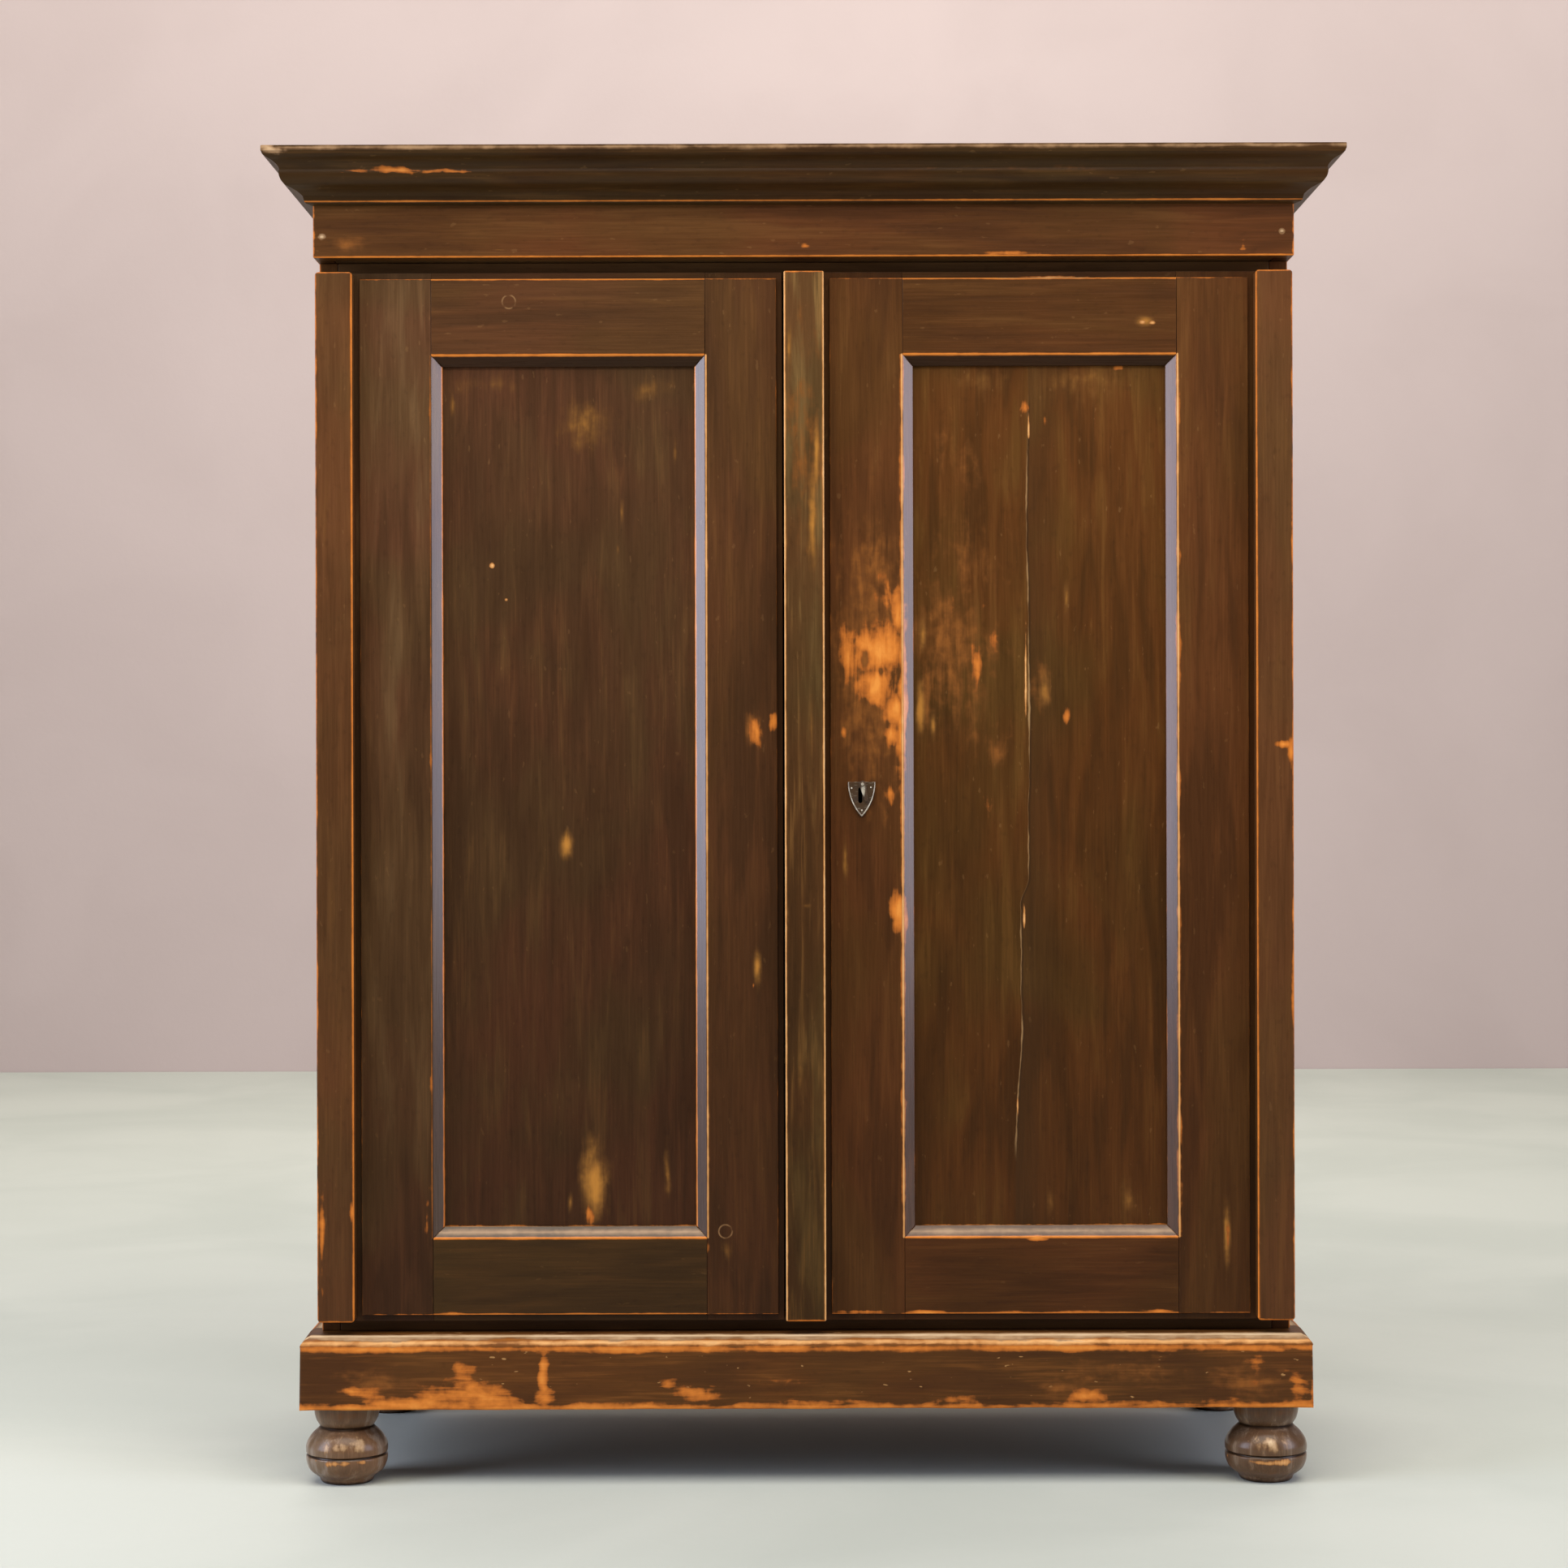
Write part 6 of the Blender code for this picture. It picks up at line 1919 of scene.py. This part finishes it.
LEFT_MARKS = {
    "panel": [
        *patches(
            SUNK,
            Look.OLIVE,
            (-0.2648, 1.2716, 0.0626, 0.0645, 0.7), (-0.4232, 1.2927, 0.0068, 0.0333, 0.5),
            (-0.3744, 1.3202, 0.0978, 0.0274, 0.42), (-0.1886, 1.3148, 0.0587, 0.0352, 0.42),
            (-0.2195, 1.1661, 0.0059, 0.0293, 0.55), (-0.2243, 1.1211, 0.0049, 0.0156, 0.5),
            (-0.1551, 1.2347, 0.0049, 0.045, 0.4), (-0.2546, 0.3621, 0.0313, 0.0821, 1.15),
            (-0.2838, 0.3347, 0.0068, 0.0235, 0.75), (-0.1665, 0.3643, 0.0098, 0.0685, 0.5),
            (-0.2869, 0.7649, 0.0156, 0.0293, 1.1),
        ),
        *patches(
            SUNK,
            Look.CREAM,
            (-0.3758, 1.1021, 0.0059, 0.0059, 0.52), (-0.3591, 1.0611, 0.0039, 0.0039, 0.26),
        ),
        *patches(SUNK, Look.ORANGE, (-0.2603, 0.323, 0.0088, 0.0215, 0.34)),
    ],
    "meeting_stile": [
        *patches(
            FACE,
            Look.ORANGE,
            (-0.0573, 0.9003, 0.0117, 0.0273, 0.5), (-0.0379, 0.9121, 0.0107, 0.0175, 0.72),
            (-0.0624, 0.5961, 0.0039, 0.0097, 0.5), (-0.0292, 0.9413, 0.0068, 0.0156, 0.35),
            (-0.1191, 0.2801, 0.0088, 0.0175, 0.45),
        ),
        *patches(FACE, Look.THIN, (-0.0603, 0.9061, 0.0273, 0.039, 0.6)),
        *patches(
            FACE,
            Look.OLIVE,
            (-0.0576, 0.6166, 0.0097, 0.0429, 1.1), (-0.0957, 0.2783, 0.0175, 0.0429, 0.4),
        ),
    ],
    "hinge_stile": patches(FACE, Look.ORANGE, (-0.4555, 0.3163, 0.0068, 0.0682, 0.3)),
    "bottom_rail": [
        *patches(
            FACE,
            Look.ORANGE,
            (-0.4269, 0.2013, 0.0331, 0.0043, 0.95), (-0.2485, 0.2008, 0.1462, 0.0039, 0.55),
            (-0.3411, 0.2006, 0.039, 0.0039, 0.6),
        ),
    ],
    "batten": [
        *patches(
            PROUD,
            Look.ORANGE,
            (-0.579, 0.2986, 0.0049, 0.1068, 0.5), (-0.5815, 0.5122, 0.0039, 0.068, 0.35),
            (-0.5431, 0.3279, 0.0049, 0.0252, 0.6),
        ),
    ],
}
RIGHT_MARKS = {
    "meeting_stile": [
        *patches(FACE, Look.THIN, (0.0818, 0.9904, 0.0877, 0.273, 0.85)),
        *patches(
            FACE,
            Look.ORANGE,
            (0.0877, 0.9982, 0.0458, 0.0546, 1.15), (0.0858, 0.9553, 0.037, 0.037, 1.15),
            (0.0526, 0.9981, 0.0195, 0.0585, 0.62), (0.1171, 0.9417, 0.0097, 0.156, 0.95),
            (0.1109, 1.0411, 0.0146, 0.0526, 0.75), (0.1045, 0.8998, 0.0117, 0.0234, 0.95),
            (0.1064, 0.93, 0.0214, 0.0331, 0.8), (0.1018, 0.8247, 0.0088, 0.0312, 0.5),
            (0.047, 0.8996, 0.0058, 0.0097, 0.55), (0.1109, 0.6863, 0.0205, 0.039, 0.85),
            (0.0722, 0.2036, 0.0546, 0.0039, 0.55), (0.0953, 1.0635, 0.0214, 0.0331, 0.36),
        ),
        *patches(FACE, Look.OLIVE, (0.047, 0.8996, 0.0088, 0.0127, 0.8), (0.0483, 0.7514, 0.0068, 0.0507, 0.8)),
    ],
    "panel": [
        *patches(
            SUNK,
            Look.THIN,
            (0.1858, 1.0107, 0.1076, 0.264, 0.55), (0.1832, 1.2356, 0.0782, 0.088, 0.35),
            (0.2249, 1.001, 0.0333, 0.0782, 0.7), (0.1449, 0.9421, 0.0196, 0.088, 0.6),
            (0.2847, 0.9562, 0.0235, 0.0548, 0.6), (0.2311, 0.8739, 0.0215, 0.0313, 0.62),
        ),
        *patches(
            SUNK,
            Look.OLIVE,
            (0.3395, 1.324, 0.1076, 0.0587, 0.42), (0.2123, 1.3256, 0.0685, 0.043, 0.38),
            (0.1427, 1.0184, 0.0108, 0.0469, 0.6), (0.1391, 0.9294, 0.0108, 0.0645, 1.15),
            (0.1548, 0.9079, 0.0078, 0.0333, 0.85), (0.2886, 0.9513, 0.0166, 0.043, 0.72),
            (0.3157, 1.0599, 0.0078, 0.0548, 0.5), (0.3451, 1.0306, 0.0059, 0.0293, 0.45),
            (0.391, 0.3364, 0.0215, 0.0548, 0.5), (0.2951, 0.3362, 0.0156, 0.043, 0.4),
        ),
        *patches(
            SUNK,
            Look.ORANGE,
            (0.2643, 1.2925, 0.0088, 0.0137, 0.5), (0.2907, 1.275, 0.0068, 0.0176, 0.42),
            (0.3805, 1.3388, 0.0117, 0.0059, 0.6), (0.1798, 1.0596, 0.0059, 0.0587, 0.22),
            (0.2288, 1.0108, 0.0166, 0.0587, 0.32), (0.216, 1.0518, 0.0117, 0.0137, 0.36),
            (0.2083, 0.9863, 0.0215, 0.0489, 0.3), (0.3161, 0.9191, 0.0068, 0.0176, 0.44),
            (0.2166, 0.8132, 0.0186, 0.0333, 0.34),
        ),
        *patches(
            SUNK,
            Look.CREAM,
            (0.2666, 0.9718, 0.0023, 0.0763, 0.72), (0.2639, 0.6745, 0.0025, 0.0274, 0.62),
            (0.2557, 0.4476, 0.0022, 0.0235, 0.5), (0.2707, 1.2652, 0.0023, 0.0293, 0.55),
        ),
    ],
    "hinge_stile": [
        *patches(FACE, Look.OLIVE, (0.5058, 0.2935, 0.0088, 0.0721, 1.0)),
        *patches(FACE, Look.ORANGE, (0.5068, 0.2896, 0.0039, 0.039, 0.42), (0.5144, 1.4467, 0.0253, 0.0049, 0.9)),
    ],
    "top_rail": [
        *patches(FACE, Look.OLIVE, (0.4093, 1.3929, 0.0195, 0.0117, 1.0)),
        *patches(
            FACE,
            Look.CREAM,
            (0.4074, 1.3919, 0.0078, 0.0049, 0.48), (0.4191, 1.3909, 0.0068, 0.0039, 0.38),
            (0.3088, 1.4462, 0.1072, 0.0029, 0.8),
        ),
        *patches(FACE, Look.ORANGE, (0.299, 1.4462, 0.1365, 0.0039, 0.9), (0.1119, 1.432, 0.0027, 0.0146, 0.7)),
    ],
    "bottom_rail": [
        *patches(
            FACE,
            Look.ORANGE,
            (0.1463, 0.2028, 0.039, 0.0043, 0.95), (0.4231, 0.2036, 0.0351, 0.0043, 0.9),
            (0.2777, 0.2919, 0.0205, 0.0058, 1.0), (0.3023, 0.2023, 0.1267, 0.0039, 0.5),
        ),
    ],
    "batten": [
        *patches(
            PROUD,
            Look.ORANGE,
            (0.573, 0.8842, 0.0146, 0.0068, 0.8), (0.5818, 0.8745, 0.0058, 0.033, 0.6),
            (0.5853, 0.2774, 0.0049, 0.068, 0.5), (0.5835, 0.5735, 0.0039, 0.0777, 0.5),
        ),
    ],
}
STRIP_MARKS = [
    *patches(PROUD, Look.THIN, (0.0001, 1.2711, 0.0485, 0.2233, 0.4)),
    *patches(
        PROUD,
        Look.OLIVE,
        (0.0101, 1.1449, 0.0107, 0.1262, 0.9), (0.0006, 0.6924, 0.0146, 0.0068, 0.55),
        (-0.0176, 1.3585, 0.0078, 0.0777, 0.72), (0.0147, 1.2323, 0.0068, 0.0874, 0.8),
        (-0.0057, 0.4943, 0.0087, 0.1165, 0.4), (0.0078, 0.9022, 0.0078, 0.1165, 0.4),
    ),
]
KEPT = patches(FACE, Look.ORANGE, (0.0731, 0.9894, 0.0097, 0.0234, 0.9), (0.0916, 0.9728, 0.0078, 0.0146, 0.45))
LEFT_DOOR = Door(
    name="left_door",
    side=-1,
    meeting=-0.033,
    edges={
        "hinge_stile": EdgeWear(Look.ORANGE, 0.26, 0.0018, 0.0, 0.72),
        "meeting_stile": EdgeWear(Look.CREAM, 0.55, 0.0022, 0.0, 0.98),
    },
    marks=LEFT_MARKS,
    batten_wear=(0.55, 0.85),
    frame=LEFT_FRAME,
    panel=LEFT_PANEL,
    plugs={
        "top_rail": [Plug((-0.3541, FACE, 1.4181), 0.0080)],
        "meeting_stile": [Plug((-0.0967, FACE, 0.3007), 0.0080)],
    },
)
RIGHT_DOOR = Door(
    name="right_door",
    side=1,
    meeting=0.031,
    edges={
        "hinge_stile": EdgeWear(Look.CREAM, 0.60, 0.0024, 0.30, 0.05),
        "meeting_stile": EdgeWear(Look.CREAM, 0.56, 0.0026, 0.45, 0.05),
    },
    marks=RIGHT_MARKS,
    batten_wear=(0.80, 0.60),
    frame=RIGHT_FRAME,
    panel=RIGHT_PANEL,
    kept=KEPT,
    seam=Seam(0.2700, 0.50, bends=((0.725, 0.690, 0.0100), (0.560, 0.430, 0.0075)), ends=(0.380, 1.310)),
)


def corners(box: Sequence[Sequence[float]]) -> list[list[float]]:
    """A box's two corners as plain lists."""
    return [[float(value) for value in corner] for corner in box]


def main() -> None:
    """Build the whole cupboard and its studio."""
    logging.basicConfig(level=logging.INFO, format="%(name)s: %(message)s")
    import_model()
    Studio().build()
    Feet().build()
    Plinth().build()
    Carcass().build()
    Frieze().build()
    Cornice().build()
    LEFT_DOOR.build()
    RIGHT_DOOR.build()
    make_batten("centre_strip", "right_door", STRIP, 0.0020, Look.CREAM, (0.78, 0.78), STRIP_MARKS)
    Escutcheon().build()
    Ironwork().build()


if __name__ == "__main__":
    main()
